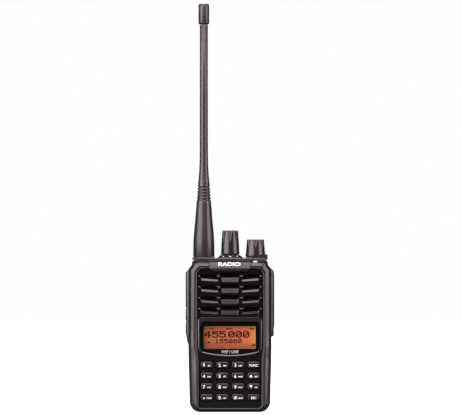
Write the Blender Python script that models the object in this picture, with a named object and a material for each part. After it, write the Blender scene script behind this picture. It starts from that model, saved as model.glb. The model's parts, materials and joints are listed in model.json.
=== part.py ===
"""Handheld two-way radio with whip antenna, two top knobs, keypad, side keys, slide-off battery and belt clip.

Sizes below are millimetres and become metres when a mesh is made. +X is the radio's right as seen from
the front, -Y is the front and +Z is up. The origin is in the middle of the bottom face, so the radio
stands on Z = 0. Every moving piece has its object origin on its joint's axis.
"""

import math

import bmesh
import bpy
from mathutils import Matrix, Vector

MM = 0.001
GAP = 0.3                    # clearance between neighbouring pieces

# Driving dimensions of the casing
BODY_HALF = 29.4             # half width across the side walls
FOOT_HALF = 28.3             # half width at the foot
DECK_HALF = 26.9             # half width above the shoulders
CASE_TOP = 107.0
SHOULDER_LOW = 101.0
SHOULDER_HIGH = 104.0
CREST_Y = -18.0              # foremost line of the front rail
PANEL_Y = -16.6              # front of the recessed panel
PANEL_BACK = -14.4
SEAM_FRONT = -1.4            # rear edge of the front case
CHASSIS_FRONT = -1.1
CHASSIS_FLOOR = 2.2
CHASSIS_BACK = 4.5
BLOCK_BACK = 13.5            # back of the chassis block above the battery
BLOCK_FOOT = 82.3
WALL_SHARE = 0.35            # where the case wall's inside lies between its outer and inner outlines

# The dark panel's opening
PANEL_HALF = 23.2
PANEL_TOP = 101.5
PANEL_FOOT = 3.1
PANEL_NARROW = 22.2

# Grille
GRILLE_ROWS = 4
GRILLE_TOP = 97.9            # upper edge of the top row
ROW_PITCH = 7.7
SLOT_HEIGHT = 2.4
CELL_HEIGHT = 5.6            # slot and ramp together
CELL_HALF = 6.3              # half width of the middle cell
SIDE_CELL = (8.3, 20.6)      # inner and outer ends of a side cell

# Display window
WINDOW = [(21.2, 63.9, 3.0), (21.0, 44.2, 3.5)]
WINDOW_DIP = (39.7, 78.0)    # height of the lower edge's corner, and its rounding
BEZEL = [(22.9, 67.0, 3.2), (22.7, 41.9, 4.5)]
BEZEL_DIP = (37.0, 80.0)
BEZEL_FRONT = -17.5

# Keypad
KEY_COLUMNS = (-16.4, -5.35, 5.7, 16.75)
KEY_ROWS = (33.4, 25.7, 18.1, 10.5)
KEY_SIZE = (8.4, 4.7)
KEY_ROUND = 1.5
KEY_FRONT = -17.7
KEY_NAMES = (
    ("key_1", "key_2", "key_3", "key_func"),
    ("key_4", "key_5", "key_6", "key_up"),
    ("key_7", "key_8", "key_9", "key_down"),
    ("key_star", "key_0", "key_hash", "key_esc"),
)

# Top side
DECK_FOOT = CASE_TOP + GAP
DECK_TOP = 108.7
DECK_FRONT = -10.6
DECK_BACK = 12.8
ANTENNA_AT = (-18.5, -0.5)
VOLUME_AT = (0.2, -1.0)
CHANNEL_AT = (18.1, -1.0)
SHROUD_TOP = 111.5
SHAFT_RADIUS = 2.9

# Sides
SIDE_FLOOR = 27.7            # |X| of the bottom of both side recesses
SIDE_OUT = 31.4              # |X| of the side keys and the jack cover
SIDE_Y = (-10.8, -2.9)
PAD_OUT = 31.0
SIDE_KEYS = {"ptt_button": (74.0, 99.0), "monitor_key": (64.6, 72.4), "lamp_key": (55.2, 63.0)}
COVER_HINGE = (30.0, 54.6)   # X and Z of the jack cover's hinge line
JACKS = {90.0: (3.2, 1.75), 79.0: (2.8, 1.25)}   # height: sleeve radius and bore radius

# Back
BATTERY_HALF = 27.2
BATTERY_TOP = 81.6
BATTERY_FRONT = CHASSIS_BACK + GAP
BATTERY_BACK = 18.2
RAIL = (21.6, 24.4)          # |X| of the battery's guide rails
CLIP_PIN = (18.9, 99.0)      # Y and Z of the belt clip's pin
CLIP_HALF = 8.6
TERMINALS = (-9.0, 0.0, 9.0)
TERMINAL_Z = (20.0, 25.0)
SCREW_AT = (15.0, 9.0)       # |X| and Z of the case screws behind the battery
SIDES = ((-1, "left"), (1, "right"))


# ---------------------------------------------------------------- outlines and mesh building

def rounded(corners, segments):
    """Points round a polygon whose corners are (a, b, radius), each corner as segments + 1 points."""
    points = []
    count = len(corners)
    for index, (a, b, radius) in enumerate(corners):
        here = Vector((a, b))
        back = (Vector(corners[index - 1][:2]) - here).normalized()
        ahead = (Vector(corners[(index + 1) % count][:2]) - here).normalized()
        half = back.angle(ahead) / 2
        reach = radius / math.tan(half)
        centre = here + (back + ahead).normalized() * (radius / math.sin(half))
        start = here + back * reach - centre
        end = here + ahead * reach - centre
        turn = start.angle_signed(end)
        for step in range(segments + 1):
            points.append(tuple(centre + Matrix.Rotation(-turn * step / segments, 2) @ start))
    return points


def mirrored(right):
    """A closed outline from its right half, listed from the foot up."""
    return right + [(-a, b, radius) for a, b, radius in reversed(right)]


def drop_outline(corners, dip, grow, segments):
    """The window's kind of outline: two upper corners, two lower ones and a lower edge that bows down."""
    (top_x, top_z, top_r), (low_x, low_z, low_r) = corners
    middle = (0.0, dip[0] - grow, dip[1])
    right = [(low_x + grow, low_z - grow, low_r + grow), (top_x + grow, top_z + grow, top_r + grow)]
    return rounded([middle] + mirrored(right), segments)


def case_outline(inset=0.0, segments=3):
    """The casing seen from the front."""
    return rounded(mirrored([
        (FOOT_HALF - inset, inset, 7.5 - inset),
        (BODY_HALF - 0.15 - inset, 38.0, 8.0),
        (BODY_HALF - inset, 46.0, 8.0),
        (BODY_HALF - inset, SHOULDER_LOW, 2.2),
        (DECK_HALF - inset, SHOULDER_HIGH, 1.6),
        (DECK_HALF - inset, CASE_TOP - inset, 1.8 - inset / 4),
    ]), segments)


def panel_outline(inset=0.0, segments=3):
    """The panel opening, with as many points as case_outline and in the same order."""
    corner = 5.0 - inset
    right = rounded(mirrored([
        (PANEL_NARROW - 0.2 - inset, PANEL_FOOT + inset, 2.6 - inset),
        (PANEL_NARROW - inset, 38.0, 8.0),
        (PANEL_HALF - inset, 46.0, 8.0),
        (PANEL_HALF - inset, PANEL_TOP - inset, corner),
    ]), segments)
    per_corner = segments + 1
    arc_points = 3 * per_corner
    top_x = PANEL_HALF - inset - corner
    top_z = PANEL_TOP - inset - corner
    arc = [
        (top_x + corner * math.cos(turn), top_z + corner * math.sin(turn))
        for turn in (math.pi / 2 * step / (arc_points - 1) for step in range(arc_points))
    ]
    lower_right = right[:3 * per_corner]
    lower_left = [(-x, z) for x, z in reversed(lower_right)]
    return lower_right + arc + [(-x, z) for x, z in reversed(arc)] + lower_left


def between(outer, inner, share):
    return [
        (a + (c - a) * share, b + (d - b) * share)
        for (a, b), (c, d) in zip(outer, inner)
    ]


def at_depth(outline, depth):
    """An outline drawn in X and Z, set at a depth Y."""
    return [(a, depth, b) for a, b in outline]


def at_height(outline, height):
    """An outline drawn in X and Y, set at a height Z."""
    return [(a, b, height) for a, b in outline]


def at_side(outline, side):
    """An outline drawn in Y and Z, set at a place X."""
    return [(side, a, b) for a, b in outline]


def loft(shape, rings, ring_closed=False):
    """Skins a row of equal rings: capped at both ends, or joined end to end into a frame."""
    rows = [[shape.verts.new(point) for point in ring] for ring in rings]
    pairs = list(zip(rows, rows[1:]))
    if ring_closed:
        pairs.append((rows[-1], rows[0]))
    for low, high in pairs:
        for index in range(len(low)):
            after = (index + 1) % len(low)
            shape.faces.new((low[index], low[after], high[after], high[index]))
    if not ring_closed:
        shape.faces.new(rows[0])
        shape.faces.new(rows[-1])


def block(shape, x, y, z):
    """A box between two values on each axis."""
    outline = [(x[0], y[0]), (x[1], y[0]), (x[1], y[1]), (x[0], y[1])]
    loft(shape, [at_height(outline, z[0]), at_height(outline, z[1])])


def round_block(shape, x, y, z, radius=0.8, segments=2):
    """A box whose four edges along X are rounded."""
    outline = rounded(
        [(y[0], z[0], radius), (y[1], z[0], radius), (y[1], z[1], radius), (y[0], z[1], radius)],
        segments,
    )
    loft(shape, [at_side(outline, x[0]), at_side(outline, x[1])])


def turn(shape, profile, centre, axis="Z", sides=24, closed=False):
    """Turns a profile of (radius, position) round an axis through centre. A radius of 0 is a pole."""
    def place(radius, along, angle):
        across, up = radius * math.cos(angle), radius * math.sin(angle)
        local = {"X": (along, across, up), "Y": (across, along, up), "Z": (across, up, along)}[axis]
        return Vector(local) + Vector(centre)

    rows = []
    for radius, along in profile:
        if radius == 0:
            rows.append([shape.verts.new(place(0, along, 0))])
        else:
            rows.append([
                shape.verts.new(place(radius, along, 2 * math.pi * step / sides))
                for step in range(sides)
            ])
    pairs = list(zip(rows, rows[1:]))
    if closed:
        pairs.append((rows[-1], rows[0]))
    for low, high in pairs:
        for index in range(sides):
            after = (index + 1) % sides
            corners = [low[index % len(low)], low[after % len(low)]]
            corners += [high[after % len(high)], high[index % len(high)]]
            shape.faces.new(list(dict.fromkeys(corners)))


def rod(shape, radius, ends, centre, axis="Z", sides=16):
    turn(shape, [(0, ends[0]), (radius, ends[0]), (radius, ends[1]), (0, ends[1])], centre, axis, sides)


def tube(shape, radii, ends, centre, axis="Z", sides=16):
    inner, outer = radii
    corners = [(outer, ends[0]), (outer, ends[1]), (inner, ends[1]), (inner, ends[0])]
    turn(shape, corners, centre, axis, sides, closed=True)


MATERIALS = {
    "case_plastic": ((0.050, 0.044, 0.046), 0.45, 0.0),
    "panel_plastic": ((0.012, 0.011, 0.012), 0.40, 0.0),
    "key_plastic": ((0.030, 0.028, 0.030), 0.40, 0.0),
    "knob_plastic": ((0.030, 0.027, 0.028), 0.35, 0.0),
    "rubber": ((0.022, 0.020, 0.021), 0.70, 0.0),
    "window_plastic": ((0.010, 0.010, 0.010), 0.05, 0.0),
    "display": ((0.90, 0.27, 0.07), 0.35, 0.0),
    "diecast": ((0.060, 0.058, 0.060), 0.50, 0.6),
    "steel": ((0.55, 0.55, 0.56), 0.30, 1.0),
    "shaft_metal": ((0.62, 0.62, 0.63), 0.25, 1.0),
    "gold_contact": ((0.85, 0.62, 0.28), 0.25, 1.0),
    "connector_plastic": ((0.020, 0.020, 0.020), 0.45, 0.0),
    "circuit_board": ((0.02, 0.12, 0.05), 0.50, 0.0),
    "battery_cell": ((0.10, 0.18, 0.32), 0.50, 0.0),
    "lens": ((0.75, 0.75, 0.76), 0.15, 0.0),
    "dark_cloth": ((0.006, 0.006, 0.006), 0.90, 0.0),
}


def material(name):
    found = bpy.data.materials.get(name)
    if found:
        return found
    colour, roughness, metallic = MATERIALS[name]
    made = bpy.data.materials.new(name)
    made.use_nodes = True
    shader = made.node_tree.nodes["Principled BSDF"]
    shader.inputs["Base Color"].default_value = (*colour, 1.0)
    shader.inputs["Roughness"].default_value = roughness
    shader.inputs["Metallic"].default_value = metallic
    return made


def finish(name, shape, finish_name, origin=(0, 0, 0)):
    """Makes the named object from a shape drawn in millimetres, with its origin at a given point."""
    bmesh.ops.recalc_face_normals(shape, faces=shape.faces)
    bmesh.ops.translate(shape, verts=shape.verts, vec=-Vector(origin))
    bmesh.ops.scale(shape, verts=shape.verts, vec=(MM, MM, MM))
    mesh = bpy.data.meshes.new(name)
    shape.to_mesh(mesh)
    shape.free()
    mesh.shade_smooth()
    mesh.set_sharp_from_angle(angle=math.radians(35))
    made = bpy.data.objects.new(name, mesh)
    made.location = Vector(origin) * MM
    bpy.context.scene.collection.objects.link(made)
    if finish_name:
        mesh.materials.append(material(finish_name))
    return made


def combine(target, shape, operation="DIFFERENCE"):
    """Cuts a shape out of an object, or joins it on, through a hidden helper and a Boolean."""
    helper = finish(target.name + "_" + operation.lower() + str(len(target.modifiers)), shape, None)
    helper.hide_render = True
    helper.display_type = "WIRE"
    modifier = target.modifiers.new(operation.title(), "BOOLEAN")
    modifier.operation = operation
    modifier.solver = "EXACT"
    modifier.object = helper


# ---------------------------------------------------------------- front half

def front_case():
    """The moulded front shell: a rail round the panel that rolls back into the side walls."""
    outer, inner = case_outline(), panel_outline()
    skin = [
        (0.0, SEAM_FRONT), (0.0, -11.0), (0.05, -13.2), (0.17, -15.3), (0.36, -17.0),
        (0.56, -17.85), (0.70, CREST_Y), (0.82, -17.8), (0.92, -17.2), (1.0, PANEL_Y),
        (1.0, PANEL_BACK), (WALL_SHARE, -13.9), (WALL_SHARE, SEAM_FRONT),
    ]
    shape = bmesh.new()
    loft(shape, [at_depth(between(outer, inner, share), y) for share, y in skin], ring_closed=True)
    case = finish("front_case", shape, "case_plastic")

    tab = bmesh.new()
    side_view = [
        (PANEL_Y - GAP, 99.3), (-18.2, 99.3), (-18.6, 99.9), (-18.6, 105.2), (-18.0, 106.5), (-16.8, 106.9),
        (-12.5, 106.9), (-12.5, 105.6), (-14.6, 104.6), (-16.2, 102.6), (PANEL_Y - GAP, 101.8),
    ]
    narrow = [(y, 103.0 + (z - 103.0) * 0.86) for y, z in side_view]
    loft(tab, [at_side(narrow, -14.0), at_side(side_view, -13.2), at_side(side_view, 13.2), at_side(narrow, 14.0)])
    combine(case, tab, "UNION")

    openings = bmesh.new()
    block(openings, (-24.2, 24.2), (-8.9, 0.0), (103.5, 110.0))
    block(openings, (-35.0, -SIDE_FLOOR), SIDE_Y, (47.2, 101.4))
    block(openings, (SIDE_FLOOR, 35.0), SIDE_Y, (52.3, 101.4))
    combine(case, openings)

    ports = bmesh.new()
    for height, (sleeve, _) in JACKS.items():
        rod(ports, sleeve + GAP, (25.0, 30.0), (0, -6.85, height), "X")
    for low, high in SIDE_KEYS.values():
        block(ports, (-30.0, -25.0), (-7.6, -6.1), ((low + high) / 2 - 1.2, (low + high) / 2 + 1.2))
    led_pocket(ports, GAP)
    combine(case, ports)


def led_pocket(shape, grow):
    """An oval plug that faces up and forward on the top rail."""
    oval = [
        ((1.8 + grow) * math.cos(a), (1.25 + grow) * math.sin(a))
        for a in (2 * math.pi * step / 16 for step in range(16))
    ]
    lean = Matrix.Rotation(math.radians(-45), 3, "X")
    place = Vector((17.8, -15.2, 105.9))
    depths = (1.9, -3.0) if grow else (0.55, -1.6)
    loft(shape, [[place + lean @ Vector((a, -depth, b)) for a, b in oval] for depth in depths])


def led_lens():
    shape = bmesh.new()
    led_pocket(shape, 0.0)
    finish("led_lens", shape, "lens")


def grille_cell(shape, outer_end, inner_end, top):
    """A through slot with a ramp below it that runs out to the panel's face."""
    slot_low = top - SLOT_HEIGHT
    ramp_low = top - CELL_HEIGHT
    ramp = [
        (PANEL_Y - 1.0, top), (-13.0, top), (-13.0, slot_low), (PANEL_BACK - 0.3, slot_low),
        (PANEL_Y, ramp_low), (PANEL_Y - 1.0, ramp_low),
    ]
    outer = [(y, z) if z > slot_low - 1 else (y, z + 0.9) for y, z in ramp]
    loft(shape, [at_side(ramp, inner_end), at_side(outer, outer_end)])


def front_panel():
    """The dark panel that fills the case's opening: grille, display opening and key openings."""
    shape = bmesh.new()
    outline = panel_outline(GAP)
    loft(shape, [at_depth(outline, PANEL_Y), at_depth(outline, PANEL_BACK)])
    panel = finish("front_panel", shape, "panel_plastic")

    cells = bmesh.new()
    for row in range(GRILLE_ROWS):
        top = GRILLE_TOP - row * ROW_PITCH
        grille_cell(cells, CELL_HALF, -CELL_HALF, top)
        grille_cell(cells, SIDE_CELL[1], SIDE_CELL[0], top)
        grille_cell(cells, -SIDE_CELL[1], -SIDE_CELL[0], top)
    combine(panel, cells)

    openings = bmesh.new()
    window = drop_outline(WINDOW, WINDOW_DIP, 0.8, 4)
    loft(openings, [at_depth(window, PANEL_Y - 1), at_depth(window, PANEL_BACK + 1)])
    for x in KEY_COLUMNS:
        for z in KEY_ROWS:
            opening = key_outline(x, z, 0.25)
            loft(openings, [at_depth(opening, PANEL_Y - 1), at_depth(opening, PANEL_BACK + 1)])
    rod(openings, 0.6, (PANEL_Y - 1, PANEL_BACK + 1), (20.2, 0, 68.6), "Y", 12)
    combine(panel, openings)


def window_bezel():
    """The raised rim round the display window, with a skirt that drops into the panel."""
    outer = drop_outline(BEZEL, BEZEL_DIP, 0.0, 4)
    inner = drop_outline(WINDOW, WINDOW_DIP, 0.0, 4)
    skirt = drop_outline(WINDOW, WINDOW_DIP, 0.5, 4)
    rings = [
        at_depth(outer, PANEL_Y - GAP),
        at_depth(between(outer, inner, 0.35), BEZEL_FRONT),
        at_depth(between(outer, inner, 0.75), BEZEL_FRONT),
        at_depth(inner, PANEL_Y),
        at_depth(inner, -14.9),
        at_depth(skirt, -14.9),
        at_depth(skirt, PANEL_Y - GAP),
    ]
    shape = bmesh.new()
    loft(shape, rings, ring_closed=True)
    finish("window_bezel", shape, "case_plastic")


def display_window():
    shape = bmesh.new()
    outline = drop_outline(WINDOW, WINDOW_DIP, -GAP, 4)
    loft(shape, [at_depth(outline, -16.9), at_depth(outline, -15.9)])
    finish("display_window", shape, "window_plastic")


def display_module():
    """The backlit liquid crystal cell behind the window."""
    shape = bmesh.new()
    block(shape, (-19.0, 19.0), (-15.6, -13.4), (44.7, 62.2))
    finish("lcd_module", shape, "display")


def key_outline(x, z, grow):
    half_x, half_z = KEY_SIZE[0] / 2 + grow, KEY_SIZE[1] / 2 + grow
    radius = KEY_ROUND + grow
    corners = [(1, -1), (1, 1), (-1, 1), (-1, -1)]
    return rounded([(x + a * half_x, z + b * half_z, radius) for a, b in corners], 3)


def keys():
    """Sixteen separate key caps, each with a retaining flange and a plunger behind the panel."""
    for row, names in enumerate(KEY_NAMES):
        for column, name in enumerate(names):
            x, z = KEY_COLUMNS[column], KEY_ROWS[row]
            face = key_outline(x, z, -0.45)
            side = key_outline(x, z, 0.0)
            flange = key_outline(x, z, 0.75)
            plunger = key_outline(x, z, -1.2)
            shape = bmesh.new()
            loft(shape, [
                at_depth(face, KEY_FRONT), at_depth(side, KEY_FRONT + 0.4), at_depth(side, -14.1),
                at_depth(flange, -14.1), at_depth(flange, -13.7), at_depth(plunger, -13.7),
                at_depth(plunger, -13.4),
            ])
            finish(name, shape, "key_plastic", (x, PANEL_Y, z))


def inside_parts():
    """Keypad mat, boards, speaker, its dust cloth and the microphone."""
    mat = bmesh.new()
    block(mat, (-21.6, 21.6), (-12.4, -11.6), (5.2, 38.6))
    finish("keypad_membrane", mat, "rubber")

    keypad_board = bmesh.new()
    block(keypad_board, (-21.6, 21.6), (-11.2, -10.0), (4.8, 65.5))
    finish("keypad_board", keypad_board, "circuit_board")

    main_board = bmesh.new()
    block(main_board, (-23.5, 23.5), (0.4, 1.6), (12.5, 93.0))
    board = finish("main_board", main_board, "circuit_board")
    shields = bmesh.new()
    block(shields, (-16.0, 16.0), (-2.6, 0.8), (16.0, 52.0))
    block(shields, (-16.0, 16.0), (-2.6, 0.8), (54.0, 88.0))
    combine(board, shields, "UNION")

    cloth = bmesh.new()
    block(cloth, (-21.4, 21.4), (-14.1, -13.8), (71.2, 99.2))
    finish("speaker_cloth", cloth, "dark_cloth")

    speaker = bmesh.new()
    turn(speaker, [
        (0, -10.6), (4.0, -10.9), (12.5, -13.2), (15.2, -13.4), (15.6, -13.4), (15.6, -11.6),
        (9.5, -9.2), (9.5, -5.6), (0, -5.6),
    ], (0, 0, 83.4), "Y", 28)
    finish("speaker", speaker, "steel")

    microphone = bmesh.new()
    rod(microphone, 1.4, (-14.1, -12.6), (20.2, 0, 68.6), "Y", 12)
    finish("microphone", microphone, "shaft_metal")


# ---------------------------------------------------------------- rear half

def chassis():
    """The die-cast rear half: a tray behind the boards, and a block above the battery."""
    outline = case_outline()
    shape = bmesh.new()
    loft(shape, [at_depth(outline, CHASSIS_FRONT), at_depth(outline, CHASSIS_BACK)])
    body = finish("chassis", shape, "diecast")

    upper = bmesh.new()
    corners = [
        (BODY_HALF, BLOCK_FOOT, 1.2), (BODY_HALF, SHOULDER_LOW, 2.2), (DECK_HALF, SHOULDER_HIGH, 1.6),
        (DECK_HALF, CASE_TOP, 1.8),
    ]
    full = rounded(mirrored(corners), 3)
    rear = [(a * 0.92, 94.0 + (b - 94.0) * 0.93) for a, b in full]
    loft(upper, [at_depth(full, 3.0), at_depth(full, 10.5), at_depth(rear, BLOCK_BACK)])
    combine(body, upper, "UNION")

    ribs = bmesh.new()
    for side in (-1, 1):
        for rib in range(5):
            x = side * (13.2 + rib * 2.4)
            block(ribs, (x - 0.5, x + 0.5), (BLOCK_BACK - 0.8, BLOCK_BACK + 0.7), (86.0, 101.5))
    combine(body, ribs, "UNION")

    hollow = bmesh.new()
    loft(hollow, [
        at_depth(case_outline(2.2), CHASSIS_FRONT - 1.0), at_depth(case_outline(2.2), CHASSIS_FLOOR),
    ])
    combine(body, hollow)

    openings = bmesh.new()
    block(openings, (-24.2, 24.2), (-4.0, 10.2), (94.5, 110.0))
    for side in (-1, 1):
        block(openings, sorted((side * (RAIL[0] - GAP), side * (RAIL[1] + GAP))), (2.9, 8.0), (-2.0, 79.0))
    block(openings, (-11.3, 11.3), (3.0, 6.0), (TERMINAL_Z[0] - GAP, TERMINAL_Z[1] + GAP))
    for side in (-1, 1):
        rod(openings, 2.5, (3.0, 6.0), (side * SCREW_AT[0], 0, SCREW_AT[1]), "Y", 12)
    combine(body, openings)


def rear_fittings():
    """Case screws and the spring contacts that meet the battery."""
    for side, label in SIDES:
        screw = bmesh.new()
        head = [(0, 3.3), (2.2, 3.3), (2.2, 3.9), (1.4, 4.3), (0, 4.3)]
        turn(screw, head, (side * SCREW_AT[0], 0, SCREW_AT[1]), "Y", 12)
        finish("case_screw_" + label, screw, "steel")

    strip = bmesh.new()
    block(strip, (-11.0, 11.0), (3.3, 3.9), TERMINAL_Z)
    contacts = finish("battery_contacts", strip, "gold_contact")
    pads = bmesh.new()
    for x in TERMINALS:
        block(pads, (x - 1.2, x + 1.2), (3.6, 4.5), (TERMINAL_Z[0] + 0.6, TERMINAL_Z[1] - 0.6))
    combine(contacts, pads, "UNION")


# ---------------------------------------------------------------- top side

def top_deck():
    """The cap over the case's open top, with the middle knob's collar and the right knob's shroud."""
    outline = rounded([
        (-DECK_HALF + 0.2, DECK_FRONT, 2.0), (DECK_HALF - 0.2, DECK_FRONT, 2.0),
        (DECK_HALF - 0.2, DECK_BACK, 3.0), (-DECK_HALF + 0.2, DECK_BACK, 3.0),
    ], 3)
    shape = bmesh.new()
    loft(shape, [at_height(outline, DECK_FOOT), at_height(outline, DECK_TOP - 0.4),
                 at_height([(a * 0.985, b * 0.97) for a, b in outline], DECK_TOP)])
    deck = finish("top_deck", shape, "case_plastic")

    raised = bmesh.new()
    collar = [(9.5, 108.0), (9.3, 108.8), (7.3, 110.4), (6.8, 110.6), (4.0, 110.6), (4.0, 108.0)]
    turn(raised, collar, (*VOLUME_AT, 0), "Z", 28, closed=True)
    step = [
        (-26.4, -9.6), (-10.8, -9.6), (-10.8, 8.8), (-26.4, 8.8),
    ]
    loft(raised, [at_height(step, 108.0), at_height([(a * 0.99, b * 0.98) for a, b in step], 109.0)])
    combine(deck, raised, "UNION")

    shroud = bmesh.new()
    side_view = [(11.0, 108.0), (26.7, 108.0), (26.7, 111.2), (26.2, SHROUD_TOP), (22.5, 111.2), (16.0, 109.2)]
    loft(shroud, [at_depth(side_view, -10.2), at_depth(side_view, 4.0)])
    combine(deck, shroud, "UNION")

    well = bmesh.new()
    around = [
        (CHANNEL_AT[0] + 7.75 * math.cos(a), CHANNEL_AT[1] + 7.75 * math.sin(a))
        for a in (math.pi * (1 + step / 16) for step in range(17))
    ]
    around += [(CHANNEL_AT[0] + 7.75, 6.0), (CHANNEL_AT[0] - 7.75, 6.0)]
    loft(well, [at_height(around, DECK_TOP + 0.35), at_height(around, 115.0)])
    combine(deck, well)

    bores = bmesh.new()
    rod(bores, SHAFT_RADIUS + GAP, (105.0, 115.0), (*CHANNEL_AT, 0))
    rod(bores, SHAFT_RADIUS + GAP, (105.0, 115.0), (*VOLUME_AT, 0))
    rod(bores, 3.6, (105.0, 115.0), (*ANTENNA_AT, 0))
    combine(deck, bores)


KNOB_FLUTES = 8
FLUTE_POINTS = 4             # outline points from one flute to the next


def knob(name, at, foot, top, radii, flute_foot):
    """A fluted knob: a tapered body with shallow flutes round its upper part and a blind bore below."""
    foot_radius, top_radius = radii
    sides = KNOB_FLUTES * FLUTE_POINTS
    height = top - foot
    rows = [
        (foot_radius - 0.7, foot, 0.0), (foot_radius, foot + 1.0, 0.0), (foot_radius - 0.1, flute_foot, 0.0),
        (foot_radius - 0.25, flute_foot + 1.5, 0.5), (top_radius + 0.1, foot + height * 0.72, 0.8),
        (top_radius, top - 0.5, 0.8), (top_radius - 0.5, top, 0.8),
    ]

    def ring(radius, z, depth):
        points = []
        for index in range(sides):
            angle = 2 * math.pi * index / sides
            reach = radius - depth if index % FLUTE_POINTS == 0 else radius
            points.append((at[0] + reach * math.cos(angle), at[1] + reach * math.sin(angle), z))
        return points

    shape = bmesh.new()
    loft(shape, [ring(radius, z, depth) for radius, z, depth in rows])
    made = finish(name, shape, "knob_plastic", (*at, foot))
    hole = bmesh.new()
    rod(hole, SHAFT_RADIUS + GAP, (foot - 1.0, top - 3.0), (*at, 0), "Z", 20)
    combine(made, hole)


def shaft(name, at, ends):
    shape = bmesh.new()
    rod(shape, SHAFT_RADIUS, ends, (*at, 0), "Z", 20)
    finish(name, shape, "shaft_metal", (*at, ends[0]))


def controls():
    """Both knobs, their shafts, and the volume control and encoder bodies under the deck."""
    knob("volume_knob", VOLUME_AT, 110.9, 128.2, (6.75, 5.85), 116.0)
    knob("channel_knob", CHANNEL_AT, 109.4, 121.8, (7.2, 6.15), 113.5)
    shaft("volume_shaft", VOLUME_AT, (103.3, 125.0))
    shaft("channel_shaft", CHANNEL_AT, (103.3, 118.6))
    for name, at in (("volume_control", VOLUME_AT), ("channel_encoder", CHANNEL_AT)):
        shape = bmesh.new()
        block(shape, (at[0] - 5.0, at[0] + 5.0), (-7.0, 3.6), (95.2, 103.0))
        finish(name, shape, "shaft_metal")


ANTENNA_PROFILE = (
    (7.6, 109.4), (7.6, 121.0), (6.85, 130.3), (6.25, 135.9), (5.85, 141.6), (5.35, 147.2),
)
ANTENNA_GROOVES = 5
GROOVE_FOOT = 149.6
GROOVE_PITCH = 2.2


def antenna():
    """A rubber-sheathed whip with a ribbed boot, its tip, core and screw connector."""
    centre = (*ANTENNA_AT, 0)
    profile = [(4.6, 109.4)] + list(ANTENNA_PROFILE)
    for groove in range(ANTENNA_GROOVES):
        low = GROOVE_FOOT + groove * GROOVE_PITCH
        skin = 5.15 - groove * 0.17
        profile += [(skin, low), (skin - 0.6, low + 0.35), (skin - 0.6, low + 0.85), (skin - 0.06, low + 1.2)]
    profile += [(3.9, 164.1), (3.4, 169.8), (3.1, 176.0), (3.0, 184.0), (2.9, 273.8)]
    profile += [(1.1, 273.8), (1.1, 124.0), (4.6, 122.0)]
    shape = bmesh.new()
    turn(shape, profile, centre, "Z", 24, closed=True)
    finish("antenna_sheath", shape, "rubber", (*ANTENNA_AT, 109.4))

    tip = bmesh.new()
    turn(tip, [
        (0, 274.1), (3.1, 274.1), (3.8, 274.8), (3.9, 275.6), (3.9, 287.6), (3.5, 288.5), (2.6, 288.9), (0, 288.9),
    ], centre, "Z", 24)
    finish("antenna_tip", tip, "rubber", (*ANTENNA_AT, 274.1))

    plug = bmesh.new()
    turn(plug, [
        (0, 118.9), (3.4, 118.9), (3.4, 110.2), (4.2, 110.2), (4.2, 121.0), (0.8, 121.6), (0.8, 273.0), (0, 273.0),
    ], centre, "Z", 16)
    finish("antenna_plug", plug, "gold_contact", (*ANTENNA_AT, 110.2))

    jack = bmesh.new()
    turn(jack, [(0, 103.2), (5.6, 103.2), (5.6, 104.8), (3.1, 104.8), (3.1, 117.0), (0, 117.0)], centre, "Z", 18)
    finish("antenna_jack", jack, "gold_contact")


# ---------------------------------------------------------------- sides

def side_keys():
    """The rubber pad on the left side and the three keys that come through it."""
    pad_outline = [
        (-SIDE_FLOOR - GAP, 47.6), (-SIDE_FLOOR - GAP, 101.0), (-29.5, 101.0), (-30.6, 99.9),
        (-PAD_OUT, 98.3), (-PAD_OUT, 53.6), (-30.4, 49.9), (-29.6, 47.6),
    ]
    depths = (SIDE_Y[0] + GAP, SIDE_Y[1] - GAP)
    shape = bmesh.new()
    loft(shape, [at_depth(pad_outline, y) for y in depths])
    pad = finish("side_key_pad", shape, "rubber")
    windows = bmesh.new()
    for low, high in SIDE_KEYS.values():
        round_block(windows, (-35.0, -25.0), (-9.9, -3.8), (low - GAP, high + GAP), 1.1)
    combine(pad, windows)

    for name, (low, high) in SIDE_KEYS.items():
        face = bmesh.new()
        middle = (low + high) / 2
        rings = []
        for half_y, half_z, x in (
            (0.45, 0.9, -26.2), (0.45, 0.9, -28.9), (2.75, middle - low, -28.9),
            (2.75, middle - low, -30.9), (2.25, middle - low - 0.5, -SIDE_OUT),
        ):
            corners = [
                (-6.85 + a * half_y, middle + b * half_z, min(0.8, half_y * 0.6))
                for a, b in ((-1, -1), (1, -1), (1, 1), (-1, 1))
            ]
            rings.append(at_side(rounded(corners, 2), x))
        loft(face, rings)
        finish(name, face, "rubber", (-28.9, -6.85, (low + high) / 2))


def accessory_side():
    """The two accessory jacks in the right wall, and the flap that covers them."""
    housing = bmesh.new()
    block(housing, (17.0, 25.2), (-10.3, -3.4), (75.6, 93.6))
    jacks = finish("accessory_jacks", housing, "connector_plastic")
    sleeves, bores = bmesh.new(), bmesh.new()
    for height, (sleeve, bore) in JACKS.items():
        rod(sleeves, sleeve, (24.0, 28.2), (0, -6.85, height), "X")
        rod(bores, bore, (18.5, 29.0), (0, -6.85, height), "X")
    combine(jacks, sleeves, "UNION")
    combine(jacks, bores)

    x, z = COVER_HINGE
    low = [(x + 1.4 * math.cos(a), z + 1.4 * math.sin(a)) for a in (math.radians(d) for d in (180, 225, 270, 315))]
    outline = low + [
        (SIDE_OUT, z + 0.2), (SIDE_OUT, 98.0), (30.9, 99.8), (29.9, 101.0), (28.6, 101.0),
    ]
    cover = bmesh.new()
    loft(cover, [at_depth(outline, y) for y in (SIDE_Y[0] + GAP, SIDE_Y[1] - GAP)])
    finish("jack_cover", cover, "rubber", (x, -6.85, z))


# ---------------------------------------------------------------- back

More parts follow.
